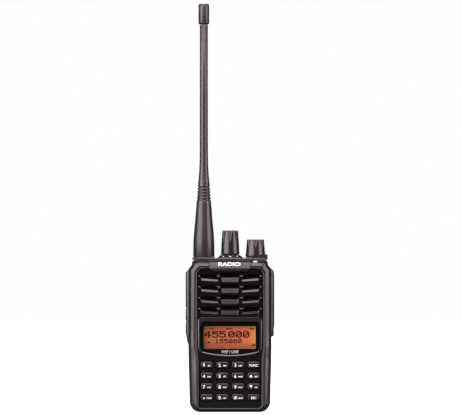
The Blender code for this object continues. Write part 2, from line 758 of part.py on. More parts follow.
def battery():
    """The slide-off pack: a tub with a front plate, guide rails, cells, terminals and a release button."""
    outline = rounded(mirrored([(BATTERY_HALF, 0.0, 6.5), (BATTERY_HALF, BATTERY_TOP, 2.0)]), 3)
    wall = rounded(mirrored([(BATTERY_HALF - 1.8, 12.4, 1.5), (BATTERY_HALF - 1.8, BATTERY_TOP - 1.8, 1.0)]), 3)

    def shrunk(by, y):
        return at_depth([(a * (1 - by / BATTERY_HALF), 40.8 + (b - 40.8) * (1 - by / 40.8)) for a, b in outline], y)

    shape = bmesh.new()
    loft(shape, [
        shrunk(0, 6.9), shrunk(0, 13.4), shrunk(0.5, 15.6), shrunk(1.6, 17.4), shrunk(3.0, BATTERY_BACK),
        at_depth([(a * 0.9, 40.8 + (b - 40.8) * 0.92) for a, b in outline], BATTERY_BACK),
    ])
    case = finish("battery_case", shape, "case_plastic")
    inside = bmesh.new()
    loft(inside, [at_depth(wall, 5.0), at_depth([(a * 0.95, 46.0 + (b - 46.0) * 0.96) for a, b in wall], 16.0)])
    combine(case, inside)
    pocket = bmesh.new()
    block(pocket, (-7.4, 7.4), (15.0, 20.0), (3.9, 11.1))
    combine(case, pocket)

    plate = bmesh.new()
    loft(plate, [at_depth(outline, BATTERY_FRONT), at_depth(outline, 6.6)])
    cover = finish("battery_plate", plate, "case_plastic")
    rails = bmesh.new()
    for side in (-1, 1):
        block(rails, sorted((side * RAIL[0], side * RAIL[1])), (3.4, 5.6), (1.0, 78.5))
    combine(cover, rails, "UNION")
    pocket = bmesh.new()
    block(pocket, (-11.9, 11.9), (4.0, 6.0), (TERMINAL_Z[0] - 0.8, TERMINAL_Z[1] + 0.8))
    combine(cover, pocket)

    strip = bmesh.new()
    block(strip, (-11.5, 11.5), (5.3, 5.7), (TERMINAL_Z[0] - 0.4, TERMINAL_Z[1] + 0.4))
    terminals = finish("battery_terminals", strip, "gold_contact")
    pads = bmesh.new()
    for x in TERMINALS:
        block(pads, (x - 1.6, x + 1.6), (4.9, 5.5), TERMINAL_Z)
    combine(terminals, pads, "UNION")

    strap = bmesh.new()
    block(strap, (-2.0, 2.0), (9.4, 12.4), (30.0, 60.0))
    pack = finish("battery_cells", strap, "battery_cell")
    cells = bmesh.new()
    for side in (-1, 1):
        round_block(cells, sorted((side * 0.6, side * 22.6)), (7.2, 14.6), (14.6, 76.4), 1.6, 3)
    combine(pack, cells, "UNION")

    button = bmesh.new()
    sizes = [(0.0, 17.0), (0.0, 18.5), (0.4, 18.9)]
    rings = []
    for inset, y in sizes:
        corners = [(-1, -1), (1, -1), (1, 1), (-1, 1)]
        outline = [(a * (7.1 - inset), 7.5 + b * (3.3 - inset), 0.8) for a, b in corners]
        rings.append(at_depth(rounded(outline, 2), y))
    loft(button, rings)
    finish("battery_latch", button, "key_plastic", (0, 17.0, 7.5))


def belt_clip():
    """A bracket screwed to the block, a pin, a coil spring and the bowed lever."""
    y, z = CLIP_PIN
    bracket = bmesh.new()
    plate = BLOCK_BACK + GAP
    block(bracket, (-11.2, 11.2), (plate, plate + 1.6), (85.2, 103.4))
    made = finish("clip_bracket", bracket, "steel")
    ears = bmesh.new()
    ear = rounded([(plate + 0.5, 93.5, 0.5), (y + 1.9, z - 1.9, 1.6), (y + 1.9, z + 1.9, 1.6), (plate + 0.5, 102.5, 0.5)], 3)
    for side in (-1, 1):
        loft(ears, [at_side(ear, side * 9.0), at_side(ear, side * 10.8)])
    combine(made, ears, "UNION")
    holes = bmesh.new()
    rod(holes, 1.3, (-12.0, 12.0), (0, y, z), "X", 16)
    for side in (-1, 1):
        rod(holes, 1.3, (plate - 1, plate + 3), (side * 6.0, 0, 89.0), "Y", 12)
    combine(made, holes)

    pin = bmesh.new()
    turn(pin, [(0, -11.6), (1.7, -11.6), (1.7, -11.1), (1.0, -11.1), (1.0, 11.1), (1.7, 11.1), (1.7, 11.6), (0, 11.6)],
         (0, y, z), "X", 16)
    finish("clip_pin", pin, "steel")

    spring = bmesh.new()
    turns, per_turn = 4, 14
    rings = []
    for step in range(turns * per_turn + 1):
        angle = 2 * math.pi * step / per_turn
        x = -2.4 + 4.8 * step / (turns * per_turn)
        radial = Vector((0, math.cos(angle), math.sin(angle)))
        middle = Vector((x, y, z)) + radial * 1.75
        rings.append([
            tuple(middle + (radial * math.cos(a) + Vector((1, 0, 0)) * math.sin(a)) * 0.32)
            for a in (math.pi / 3 * corner for corner in range(6))
        ])
    loft(spring, rings)
    finish("clip_spring", spring, "steel")

    for side, label in SIDES:
        screw = bmesh.new()
        head = plate + 1.6 + GAP
        screw_profile = [
            (0, plate + 0.3), (1.0, plate + 0.3), (1.0, head), (2.1, head), (1.8, head + 0.9), (0, head + 1.0),
        ]
        turn(screw, screw_profile, (side * 6.0, 0, 89.0), "Y", 14)
        finish("clip_screw_" + label, screw, "steel")

    lever = bmesh.new()
    inner = [(20.9, 106.0), (20.9, 99.0), (22.0, 92.0), (23.2, 84.0), (23.4, 60.0), (22.4, 48.0), (19.2, 41.0), (18.6, 38.5)]
    outer = [(20.2, 37.6), (21.0, 40.0), (24.2, 46.8), (25.3, 60.0), (25.1, 85.0), (23.7, 93.5), (22.6, 99.0), (22.4, 106.6)]
    strip = inner + outer
    loft(lever, [at_side(strip, -CLIP_HALF), at_side(strip, CLIP_HALF)])
    made = finish("clip_lever", lever, "case_plastic", (0, y, z))
    barrels = bmesh.new()
    knuckle = [
        (y + 2.3 * math.cos(a), z + 2.3 * math.sin(a))
        for a in (math.pi * (0.5 + step / 8) for step in range(9))
    ] + [(21.6, z - 2.3), (21.6, z + 2.3)]
    for side in (-1, 1):
        loft(barrels, [at_side(knuckle, side * 3.4), at_side(knuckle, side * (CLIP_HALF - 0.1))])
    combine(made, barrels, "UNION")
    bore = bmesh.new()
    rod(bore, 1.25, (-12.0, 12.0), (0, y, z), "X", 16)
    combine(made, bore)


for leftover in list(bpy.data.objects):
    bpy.data.objects.remove(leftover)

front_case()
led_lens()
front_panel()
window_bezel()
display_window()
display_module()
keys()
inside_parts()
chassis()
rear_fittings()
top_deck()
controls()
antenna()
side_keys()
accessory_side()
battery()
belt_clip()
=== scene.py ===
"""Looks of the handheld radio: detailed pieces, their materials, a pale stage and soft studio light.

Outlines and profiles are millimetres and become metres in solid(). +X is the radio's right as seen
from the front, -Y is the front and +Z is up, as in the frame.
"""

import json
import math
from collections import namedtuple

import bmesh
import bpy
from mathutils import Matrix, Vector


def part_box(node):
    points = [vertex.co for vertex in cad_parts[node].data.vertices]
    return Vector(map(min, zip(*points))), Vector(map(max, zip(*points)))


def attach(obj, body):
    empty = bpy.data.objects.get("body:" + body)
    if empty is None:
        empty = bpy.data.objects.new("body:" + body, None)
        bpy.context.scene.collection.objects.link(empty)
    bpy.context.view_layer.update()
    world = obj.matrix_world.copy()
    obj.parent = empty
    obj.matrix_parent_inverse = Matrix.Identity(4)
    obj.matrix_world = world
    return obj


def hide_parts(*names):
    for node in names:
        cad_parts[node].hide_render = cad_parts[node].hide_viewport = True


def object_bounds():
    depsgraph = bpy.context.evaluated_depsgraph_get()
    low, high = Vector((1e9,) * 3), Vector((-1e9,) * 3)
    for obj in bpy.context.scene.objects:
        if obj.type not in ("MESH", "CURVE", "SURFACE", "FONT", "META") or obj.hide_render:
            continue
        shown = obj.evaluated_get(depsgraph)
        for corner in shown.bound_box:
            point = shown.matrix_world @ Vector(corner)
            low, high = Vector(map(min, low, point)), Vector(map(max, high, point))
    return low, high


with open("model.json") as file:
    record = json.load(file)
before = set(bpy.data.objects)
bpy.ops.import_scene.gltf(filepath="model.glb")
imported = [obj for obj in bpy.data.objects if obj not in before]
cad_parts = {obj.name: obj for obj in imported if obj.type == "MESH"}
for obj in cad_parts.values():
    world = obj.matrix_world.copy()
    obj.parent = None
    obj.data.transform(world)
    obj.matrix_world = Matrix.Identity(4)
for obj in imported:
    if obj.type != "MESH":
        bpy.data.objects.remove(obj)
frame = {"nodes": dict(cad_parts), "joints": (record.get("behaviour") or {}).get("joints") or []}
cad_low, cad_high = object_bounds()

MM = 0.001
GAP = 0.3                 # clearance that the frame keeps between neighbouring pieces
HOUSING = "housing"
FINE = 10                 # segments in a large rounded corner
Span = namedtuple("Span", "left right front back foot top")


def span(node):
    """A node's box in millimetres."""
    low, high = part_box(node)
    return Span(*(value / MM for pair in zip(low, high) for value in pair))


def middle(box):
    """The middle of a box's width, depth and height."""
    return (box.left + box.right) / 2, (box.front + box.back) / 2, (box.foot + box.top) / 2


CASE = span("front_case")
PANEL = span("front_panel")
GLASS = span("display_window")
BEZEL = span("window_bezel")
LCD = span("lcd_module")
DECK = span("top_deck")
CHASSIS = span("chassis")
PACK = span("battery_case")
PLATE = span("battery_plate")
PAD = span("side_key_pad")
COVER = span("jack_cover")
SHEATH = span("antenna_sheath")
TIP = span("antenna_tip")
LATCH = span("battery_latch")
LEVER = span("clip_lever")
PIN = span("clip_pin")
LENS = span("led_lens")

HALF = CASE.right                     # half width across the side walls
FOOT_HALF = HALF - 1.1
DECK_HALF = HALF - 2.5
SHOULDER_LOW = CASE.top - 6.0
SHOULDER_HIGH = CASE.top - 3.0
CREST = CASE.front + 0.6              # foremost line of the front rail
FACE = PANEL.front                    # face of the recessed panel
OPENING_HALF = PANEL.right + GAP
OPENING_TOP = PANEL.top + GAP
OPENING_FOOT = PANEL.foot - GAP
OPENING_NARROW = OPENING_HALF - 1.0
RAIL = HALF - OPENING_HALF            # width of the rail between the side and the opening
WAIST_LOW = 38.0                      # the casing widens between these two heights
WAIST_HIGH = 46.0
WAIST_RADIUS = 8.0
TAB_FOOT = 99.3
SEAT_GAP = 0.12                       # between the deck's raised seats and what turns on them
BORE = 3.2                            # radius of the holes for the knobs' shafts
SIDE_CUT = -35.0, -25.0               # X range of cuts through the left wall
KEY_BACK = -14.1, -13.7               # front and back of a key's retaining flange
FLANGE = 0.75                         # how far that flange stands out past the cap
PRINT = 0.04                          # thickness of printed lettering
BAY_HALF = 24.2                       # half width of the opening under the deck
GUIDE = 21.6, 24.4                    # X range of each of the battery's guide rails
SIDE_KEYS = "ptt_button", "monitor_key", "lamp_key"
ROUND = 64                            # sides of a large turned shape
ROWS = 4                              # rows of the grille


# ---------------------------------------------------------------- outlines and mesh building

def rounded(corners, segments):
    """Points round a polygon whose corners are (a, b, radius), each corner as segments + 1 points."""
    points = []
    count = len(corners)
    for index, (a, b, radius) in enumerate(corners):
        here = Vector((a, b))
        back = (Vector(corners[index - 1][:2]) - here).normalized()
        ahead = (Vector(corners[(index + 1) % count][:2]) - here).normalized()
        half = back.angle(ahead) / 2
        reach = radius / math.tan(half)
        centre = here + (back + ahead).normalized() * (radius / math.sin(half))
        start = here + back * reach - centre
        end = here + ahead * reach - centre
        turn_by = start.angle_signed(end)
        for step in range(segments + 1):
            points.append(tuple(centre + Matrix.Rotation(-turn_by * step / segments, 2) @ start))
    return points


def mirrored(right):
    """A closed outline from its right half, listed from the foot up."""
    return right + [(-a, b, radius) for a, b, radius in reversed(right)]


def rectangle(a, b, radius, segments=4):
    """A rounded rectangle between two values on each of two axes."""
    return rounded([(a[0], b[0], radius), (a[1], b[0], radius), (a[1], b[1], radius), (a[0], b[1], radius)],
                   segments)


def circle(centre, radius, count, start=0.0, sweep=2 * math.pi):
    return [
        (centre[0] + radius * math.cos(start + sweep * step / count),
         centre[1] + radius * math.sin(start + sweep * step / count))
        for step in range(count)
    ]


def at_depth(outline, depth):
    """An outline drawn in X and Z, set at a depth Y."""
    return [(a, depth, b) for a, b in outline]


def at_height(outline, height):
    """An outline drawn in X and Y, set at a height Z."""
    return [(a, b, height) for a, b in outline]


def at_side(outline, side):
    """An outline drawn in Y and Z, set at a place X."""
    return [(side, a, b) for a, b in outline]


def loft(shape, rings, ring_closed=False):
    """Skins a row of equal rings: capped at both ends, or joined end to end into a frame."""
    rows = [[shape.verts.new(point) for point in ring] for ring in rings]
    pairs = list(zip(rows, rows[1:]))
    if ring_closed:
        pairs.append((rows[-1], rows[0]))
    for low, high in pairs:
        for index in range(len(low)):
            after = (index + 1) % len(low)
            shape.faces.new((low[index], low[after], high[after], high[index]))
    if not ring_closed:
        shape.faces.new(rows[0])
        shape.faces.new(rows[-1])


def block(shape, x, y, z, radius=0.0):
    """A box between two values on each axis; a radius rounds its four edges along Y."""
    outline = rectangle(x, z, radius) if radius else [(x[0], z[0]), (x[1], z[0]), (x[1], z[1]), (x[0], z[1])]
    loft(shape, [at_depth(outline, y[0]), at_depth(outline, y[1])])


def turn(shape, profile, centre, axis="Z", sides=48, closed=False):
    """Turns a profile of (radius, position) round an axis through centre. A radius of 0 is a pole."""
    def place(radius, along, angle):
        across, up = radius * math.cos(angle), radius * math.sin(angle)
        local = {"X": (along, across, up), "Y": (across, along, up), "Z": (across, up, along)}[axis]
        return Vector(local) + Vector(centre)

    rows = []
    for radius, along in profile:
        if radius == 0:
            rows.append([shape.verts.new(place(0, along, 0))])
        else:
            rows.append([shape.verts.new(place(radius, along, 2 * math.pi * step / sides))
                         for step in range(sides)])
    pairs = list(zip(rows, rows[1:]))
    if closed:
        pairs.append((rows[-1], rows[0]))
    for low, high in pairs:
        for index in range(sides):
            after = (index + 1) % sides
            corners = [low[index % len(low)], low[after % len(low)]]
            corners += [high[after % len(high)], high[index % len(high)]]
            shape.faces.new(list(dict.fromkeys(corners)))


def rod(shape, radius, ends, centre, axis="Z", sides=32):
    turn(shape, [(0, ends[0]), (radius, ends[0]), (radius, ends[1]), (0, ends[1])], centre, axis, sides)


def solid(*builders):
    """An object in metres from one function that draws into a mesh in millimetres, or several."""
    shape = bmesh.new()
    for build in builders:
        build(shape)
    bmesh.ops.recalc_face_normals(shape, faces=shape.faces)
    bmesh.ops.scale(shape, verts=shape.verts, vec=(MM, MM, MM))
    mesh = bpy.data.meshes.new("shape")
    shape.to_mesh(mesh)
    shape.free()
    made = bpy.data.objects.new("shape", mesh)
    bpy.context.scene.collection.objects.link(made)
    return made


def skin(rings, ring_closed=False):
    """A solid from one loft."""
    return solid(lambda shape: loft(shape, rings, ring_closed))


def settle(made):
    """Turns an object's modifiers into its mesh."""
    settled = bpy.data.meshes.new_from_object(made.evaluated_get(bpy.context.evaluated_depsgraph_get()))
    made.modifiers.clear()
    made.data = settled
    return made


def carve(target, tool, operation="DIFFERENCE"):
    """Cuts one solid out of another, or joins it on, and removes the tool."""
    modifier = target.modifiers.new(operation.title(), "BOOLEAN")
    modifier.operation = operation
    modifier.solver = "EXACT"
    modifier.object = tool
    settle(target)
    bpy.data.objects.remove(tool)
    return target


def soften(made, width, segments=2, angle=35):
    """Rounds the sharp edges of an object by a width in millimetres."""
    modifier = made.modifiers.new("Rounded edges", "BEVEL")
    modifier.width = width * MM
    modifier.segments = segments
    modifier.limit_method = "ANGLE"
    modifier.angle_limit = math.radians(angle)
    modifier.harden_normals = True
    return made


def dress(made, name, look, body, slot, *nodes, sharp=40):
    """Names a piece, gives it its material, hangs it on the body it rides on and hides the nodes it stands
    for.
    """
    made.name = name
    made.data.name = name
    made.data.shade_smooth()
    made.data.set_sharp_from_angle(angle=math.radians(sharp))
    made.data.materials.clear()
    made.data.materials.append(look)
    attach(made, body)
    if nodes:
        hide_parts(*nodes)
    return made


# ---------------------------------------------------------------- materials

def link(tree, source, output, target, socket):
    tree.links.new(source.outputs[output], target.inputs[socket])


def noise(tree, scale, detail=3.0):
    """A noise texture in the piece's own space, with scale in features per millimetre."""
    where = tree.nodes.new("ShaderNodeTexCoord")
    texture = tree.nodes.new("ShaderNodeTexNoise")
    texture.inputs["Scale"].default_value = scale / MM
    texture.inputs["Detail"].default_value = detail
    link(tree, where, "Object", texture, "Vector")
    return texture


def remap(tree, source, output, start, end, low=0.0, high=1.0):
    """Maps the range from start to end onto the range from low to high."""
    ramp = tree.nodes.new("ShaderNodeMapRange")
    for socket, value in (("From Min", start), ("From Max", end), ("To Min", low), ("To Max", high)):
        ramp.inputs[socket].default_value = value
    link(tree, source, output, ramp, "Value")
    return ramp


def place_in(tree):
    """The place on the piece, in its own space, as separate X, Y and Z."""
    where = tree.nodes.new("ShaderNodeTexCoord")
    apart = tree.nodes.new("ShaderNodeSeparateXYZ")
    link(tree, where, "Object", apart, "Vector")
    return apart


def by_ray(tree, lit_by, seen, output):
    """Mixes what lights the scene with what the camera sees, for the stage only."""
    path = tree.nodes.new("ShaderNodeLightPath")
    mix = tree.nodes.new("ShaderNodeMixShader")
    link(tree, path, "Is Camera Ray", mix, "Fac")
    tree.links.new(lit_by, mix.inputs[1])
    tree.links.new(seen, mix.inputs[2])
    link(tree, mix, "Shader", tree.nodes[output], "Surface")


def tint(tree, source, output, dark, light):
    """Maps a 0 to 1 value to a blend of two colours."""
    blend = tree.nodes.new("ShaderNodeMix")
    blend.data_type = "RGBA"
    blend.inputs["A"].default_value = (*dark, 1.0)
    blend.inputs["B"].default_value = (*light, 1.0)
    link(tree, source, output, blend, "Factor")
    return blend


LAMP_TINT_ON_SHINE = (1.0, 0.84, 0.93, 1.0)         # painted light colour: the warm purple tint of the studio light, given to the black plastics' reflections
NEUTRAL = (1.0, 1.0, 1.0, 1.0)


def plain(name, colour, roughness, metallic=0.0, grain=5.0, relief=0.004, mottle=0.12, vary=0.06,
          specular=0.5, shine=NEUTRAL):
    """A moulded or plated surface: fine grain in the relief, and slow changes of colour and gloss."""
    made = bpy.data.materials.new(name)
    made.use_nodes = True
    tree = made.node_tree
    shader = tree.nodes["Principled BSDF"]
    shader.inputs["Metallic"].default_value = metallic
    shader.inputs["Specular IOR Level"].default_value = specular
    # shine colours the reflections; for the black plastics it is a painted tint of the studio light
    shader.inputs["Specular Tint"].default_value = shine
    slow = noise(tree, 0.12, 4.0)
    blend = tint(tree, slow, "Fac", [c * (1 - mottle) for c in colour], [c * (1 + mottle) for c in colour])
    link(tree, blend, "Result", shader, "Base Color")
    fine = noise(tree, grain, 2.0)
    gloss = remap(tree, fine, "Fac", 0.25, 0.75, max(roughness - vary, 0.02), roughness + vary)
    link(tree, gloss, "Result", shader, "Roughness")
    bump = tree.nodes.new("ShaderNodeBump")
    bump.inputs["Strength"].default_value = 0.6
    bump.inputs["Distance"].default_value = relief * MM
    link(tree, fine, "Fac", bump, "Height")
    link(tree, bump, "Normal", shader, "Normal")
    return made


def shader_of(look):
    return look.node_tree.nodes["Principled BSDF"]


LOOKS = {
    "case": plain("Case plastic", (0.010, 0.0070, 0.0085), 0.30, grain=4.0, relief=0.008, vary=0.04,
                  shine=LAMP_TINT_ON_SHINE),
    "panel": plain("Panel plastic", (0.0020, 0.0012, 0.0017), 0.20, grain=6.0, relief=0.003, vary=0.03,
                   shine=LAMP_TINT_ON_SHINE),
    "key": plain("Key plastic", (0.006, 0.0045, 0.0055), 0.34, grain=7.0, relief=0.003, shine=LAMP_TINT_ON_SHINE),
    "knob": plain("Knob plastic", (0.008, 0.0055, 0.0070), 0.27, grain=6.0, relief=0.003, shine=LAMP_TINT_ON_SHINE),
    "antenna": plain("Antenna rubber", (0.012, 0.009, 0.0105), 0.34, grain=3.0, relief=0.008, shine=LAMP_TINT_ON_SHINE),
    "rim": plain("Window rim plastic", (0.009, 0.007, 0.008), 0.20, grain=6.0, relief=0.002, vary=0.03,
                 specular=0.7, shine=LAMP_TINT_ON_SHINE),
    "rubber": plain("Side rubber", (0.010, 0.0075, 0.009), 0.33, grain=4.0, relief=0.008, specular=0.65,
                    shine=LAMP_TINT_ON_SHINE),
    "metal_body": plain("Painted casting", (0.018, 0.014, 0.016), 0.42, grain=2.5, relief=0.015, shine=LAMP_TINT_ON_SHINE),
    "steel": plain("Plated steel", (0.56, 0.55, 0.55), 0.28, metallic=1.0, grain=8.0, relief=0.002),
    "alloy": plain("Turned alloy", (0.62, 0.62, 0.64), 0.25, metallic=1.0, grain=8.0, relief=0.002),
    "gold": plain("Gold plating", (0.86, 0.60, 0.25), 0.22, metallic=1.0, grain=8.0, relief=0.001),
    "blackened": plain("Blackened metal", (0.045, 0.04, 0.042), 0.35, metallic=1.0, grain=8.0, relief=0.002),
    "board": plain("Solder mask", (0.012, 0.090, 0.035), 0.35, grain=1.2, relief=0.020, mottle=0.5),
    "connector": plain("Connector plastic", (0.018, 0.018, 0.018), 0.45, grain=6.0, relief=0.004),
    "cell": plain("Cell wrap", (0.06, 0.12, 0.25), 0.30, grain=0.6, relief=0.020),
    "mask": plain("Window mask", (0.0012, 0.0010, 0.0012), 0.10, grain=8.0, relief=0.0003, vary=0.03),
    "white": plain("White print", (0.78, 0.76, 0.77), 0.50, grain=10.0, relief=0.003, mottle=0.04),
    "silver": plain("Silver print", (0.34, 0.32, 0.34), 0.35, grain=10.0, relief=0.003, mottle=0.1),
    "ink": plain("Display segments", (0.010, 0.002, 0.001), 0.55, grain=10.0, relief=0.001, specular=0.2),
}


def shell_look():
    """The front shell's plastic: polished more where it is gripped, below the window."""
    made = plain("Shell plastic", (0.010, 0.0070, 0.0085), 0.30, grain=4.0, relief=0.008, vary=0.04,
                 shine=LAMP_TINT_ON_SHINE)
    tree = made.node_tree
    upward = remap(tree, place_in(tree), "Z", 40.0 * MM, 60.0 * MM, 0.85, 0.46)
    link(tree, upward, "Result", shader_of(made), "Specular IOR Level")
    return made


def glass_look():
    made = plain("Window glass", (0.95, 0.95, 0.95), 0.03, grain=3.0, relief=0.0002, vary=0.015, mottle=0.02)
    shader_of(made).inputs["Transmission Weight"].default_value = 1.0
    shader_of(made).inputs["IOR"].default_value = 1.45
    return made


def cloth_look():
    """A black woven mesh: a checker pattern for the threads."""
    made = plain("Dust cloth", (0.002, 0.002, 0.002), 0.9, grain=4.0, relief=0.02, specular=0.02)
    tree = made.node_tree
    where = tree.nodes.new("ShaderNodeTexCoord")
    weave = tree.nodes.new("ShaderNodeTexChecker")
    weave.inputs["Scale"].default_value = 3.0 / MM
    link(tree, where, "Object", weave, "Vector")
    blend = tint(tree, weave, "Fac", (0.0008, 0.0008, 0.0008), (0.004, 0.003, 0.0035))
    link(tree, blend, "Result", shader_of(made), "Base Color")
    return made


def display_look():
    """The lit display: orange that is deeper at the left and brighter towards the right edge."""
    made = plain("Lit display", (0.05, 0.012, 0.004), 0.40, grain=2.0, relief=0.001, specular=0.2)
    tree = made.node_tree
    shader = shader_of(made)
    apart = place_in(tree)
    across = remap(tree, apart, "X", LCD.left * MM, LCD.right * MM)
    ramp = tree.nodes.new("ShaderNodeValToRGB")
    stops = ((0.0, (0.17, 0.035, 0.012)), (0.05, (0.30, 0.075, 0.022)), (0.12, (0.48, 0.130, 0.058)),
             (0.45, (0.64, 0.155, 0.074)), (0.80, (0.74, 0.170, 0.066)), (0.94, (0.78, 0.24, 0.065)),
             (1.0, (0.86, 0.42, 0.15)))
    while len(ramp.color_ramp.elements) < len(stops):
        ramp.color_ramp.elements.new(0.5)
    for element, (place, colour) in zip(ramp.color_ramp.elements, stops):
        element.position = place
        element.color = (*colour, 1.0)
    link(tree, across, "Result", ramp, "Fac")
    cloudy = noise(tree, 0.25, 2.0)
    blend = tree.nodes.new("ShaderNodeMix")
    blend.data_type = "RGBA"
    blend.blend_type = "MULTIPLY"
    blend.inputs["Factor"].default_value = 0.12
    link(tree, ramp, "Color", blend, "A")
    link(tree, cloudy, "Fac", blend, "B")
    lit = blend
    output = "Result"
    for start, end, first, last in ((55.0, 61.5, 1.0, 0.50), (45.0, 51.5, 0.56, 1.0)):
        along = remap(tree, apart, "Z", start * MM, end * MM, first, last)
        along.interpolation_type = "SMOOTHSTEP"
        scaled = tree.nodes.new("ShaderNodeVectorMath")
        scaled.operation = "SCALE"
        link(tree, lit, output, scaled, 0)
        link(tree, along, "Result", scaled, "Scale")
        lit, output = scaled, "Vector"
    link(tree, lit, output, shader, "Emission Color")
    shader.inputs["Emission Strength"].default_value = 1.0
    return made


def lens_look():
    made = plain("Light pipe", (0.24, 0.23, 0.25), 0.45, grain=4.0, relief=0.002)
    shader_of(made).inputs["Subsurface Weight"].default_value = 0.3
    shader_of(made).inputs["Subsurface Scale"].default_value = 0.5 * MM
    return made


LOOKS["shell"] = shell_look()
LOOKS["glass"] = glass_look()
LOOKS["cloth"] = cloth_look()
LOOKS["display"] = display_look()
LOOKS["lens"] = lens_look()


# ---------------------------------------------------------------- front case

def case_outline(inset=0.0, segments=FINE):
    """The casing seen from the front."""
    return rounded(mirrored([
        (FOOT_HALF - inset, inset, 7.5 - inset),
        (HALF - 0.15 - inset, WAIST_LOW, WAIST_RADIUS),
        (HALF - inset, WAIST_HIGH, WAIST_RADIUS),
        (HALF - inset, SHOULDER_LOW, 2.2),
        (DECK_HALF - inset, SHOULDER_HIGH, 1.6),
        (DECK_HALF - inset, CASE.top - inset, 1.8 - inset / 4),
    ]), segments)


def panel_outline(inset=0.0, segments=FINE):
    """The panel opening, with as many points as case_outline and in the same order."""
    corner = 5.0 - inset
    low = rounded(mirrored([
        (OPENING_NARROW - 0.2 - inset, OPENING_FOOT + inset, 2.6 - inset),
        (OPENING_NARROW - inset, WAIST_LOW, WAIST_RADIUS),
        (OPENING_HALF - inset, WAIST_HIGH, WAIST_RADIUS),
        (OPENING_HALF - inset, OPENING_TOP - inset, corner),
    ]), segments)[:3 * (segments + 1)]
    count = 3 * (segments + 1)
    arc = circle((OPENING_HALF - inset - corner, OPENING_TOP - inset - corner), corner, count - 1,
                 0.0, math.pi / 2)
    arc.append((OPENING_HALF - inset - corner, OPENING_TOP - inset))
    return low + arc + [(-x, z) for x, z in reversed(arc)] + [(-x, z) for x, z in reversed(low)]


def blend_by_height(z, low=WAIST_LOW, high=60.0):
    """1 at the keypad, 0 at the grille, with a smooth change beside the window."""
    share = min(max((high - z) / (high - low), 0.0), 1.0)
    return share * share * (3 - 2 * share)


def rail_section():
    """Half of the shell's frame in section, twice: beside the grille, and beside the keypad.

    Points are (distance in from the side, Y). Beside the grille the rail is a plain quarter round with a
    fine lip inside it. Beside the keypad the side is flatter and the crest is a facet next to the lip."""
    def rail(crest, lip):
        return rounded([(0.0, CASE.back, 0.2)] + crest + lip + [
            (RAIL, FACE - 0.15, 0.1), (RAIL, PANEL.back, 0.2), (RAIL * 0.35, -13.9, 0.3),
            (RAIL * 0.35, CASE.back, 0.2)], 5)

    beside_grille = rail(
        [(0.0, CREST + 4.5, 3.2), (1.95, CREST + 1.65, 1.5), (RAIL - 1.75, CREST, 0.4)],
        [(RAIL - 1.35, CREST + 0.80, 0.1), (RAIL - 1.05, CREST + 0.80, 0.1), (RAIL - 0.42, CREST + 0.18, 0.2),
         (RAIL - 0.15, CREST + 0.30, 0.15)])
    beside_keys = rail(
        [(0.0, CREST + 5.2, 2.6), (1.8, CREST + 1.95, 0.8), (RAIL - 2.60, CREST + 0.44, 0.1)],
        [(RAIL - 1.30, CREST + 0.02, 0.10), (RAIL - 1.05, CREST + 0.75, 0.12),
         (RAIL - 0.62, CREST + 0.85, 0.15), (RAIL - 0.18, CREST + 0.55, 0.15)])
    return beside_grille, beside_keys


def front_case():
    """The moulded shell: side walls that roll into a rail, with a fine lip round the panel."""
    outer, inner = case_outline(), panel_outline()
    rings = []
    for (high_in, high_y), (low_in, low_y) in zip(*rail_section()):
        ring = []
        for (a, b), (c, d) in zip(outer, inner):
            low = blend_by_height(b)
            share = (high_in + (low_in - high_in) * low) / RAIL
            ring.append((a + (c - a) * share, high_y + (low_y - high_y) * low, b + (d - b) * share))
        rings.append(ring)
    case = skin(rings, ring_closed=True)

    side_view = rounded([
        (FACE - GAP, TAB_FOOT, 0.1), (CASE.front + 0.35, TAB_FOOT, 0.6), (CASE.front, 101.2, 2.5),
        (CASE.front + 1.25, 105.7, 2.0), (-15.4, 106.9, 1.2), (-12.5, 106.95, 0.1), (-12.5, 105.6, 0.1),
        (-14.6, 104.6, 0.3), (-16.0, 102.6, 0.3), (FACE - GAP, 101.8, 0.1),
    ], 4)

    def squeezed(by):
        """The tab's side view with its lower end cut short towards its ends."""
        return [(y, max(z, TAB_FOOT + by)) for y, z in side_view]

    sides = [(-14.3, 2.1), (-14.0, 1.8), (-12.4, 0.15), (-12.1, 0.0), (12.1, 0.0), (12.4, 0.15), (14.0, 1.8),
             (14.3, 2.1)]
    carve(case, skin([at_side(squeezed(by), x) for x, by in sides]), "UNION")

    def openings(shape):
        for side in (-1, 1):
            block(shape, sorted((side * 14.25, side * 14.7)), (-19.0, -16.9), (102.6, 107.5))
        block(shape, (-BAY_HALF, BAY_HALF), (-8.9, 0.0), (103.5, 110.0))
        block(shape, (-35.0, -27.7), (PAD.front - GAP, PAD.back + GAP), (47.3, 101.4), 0.8)
        block(shape, (27.7, 35.0), (COVER.front - GAP, COVER.back + GAP), (52.3, 101.4), 0.8)

    carve(case, solid(openings))

    def ports(shape):
        for name in SIDE_KEYS:
            _, depth, height = middle(span(name))
            block(shape, (-30.0, -25.0), (depth - 0.75, depth + 0.75), (height - 1.2, height + 1.2), 0.4)
        jacks = span("accessory_jacks")
        for height, radius in ((90.0, 3.5), (79.0, 3.1)):
            rod(shape, radius, (25.0, 30.0), (0, middle(jacks)[1], height), "X")

    carve(case, solid(ports))
    carve(case, lens_body(GAP))
    soften(case, 0.12, 2, 50)
    dress(case, "case_shell", LOOKS["shell"], HOUSING, "case_plastic", "front_case", sharp=16)


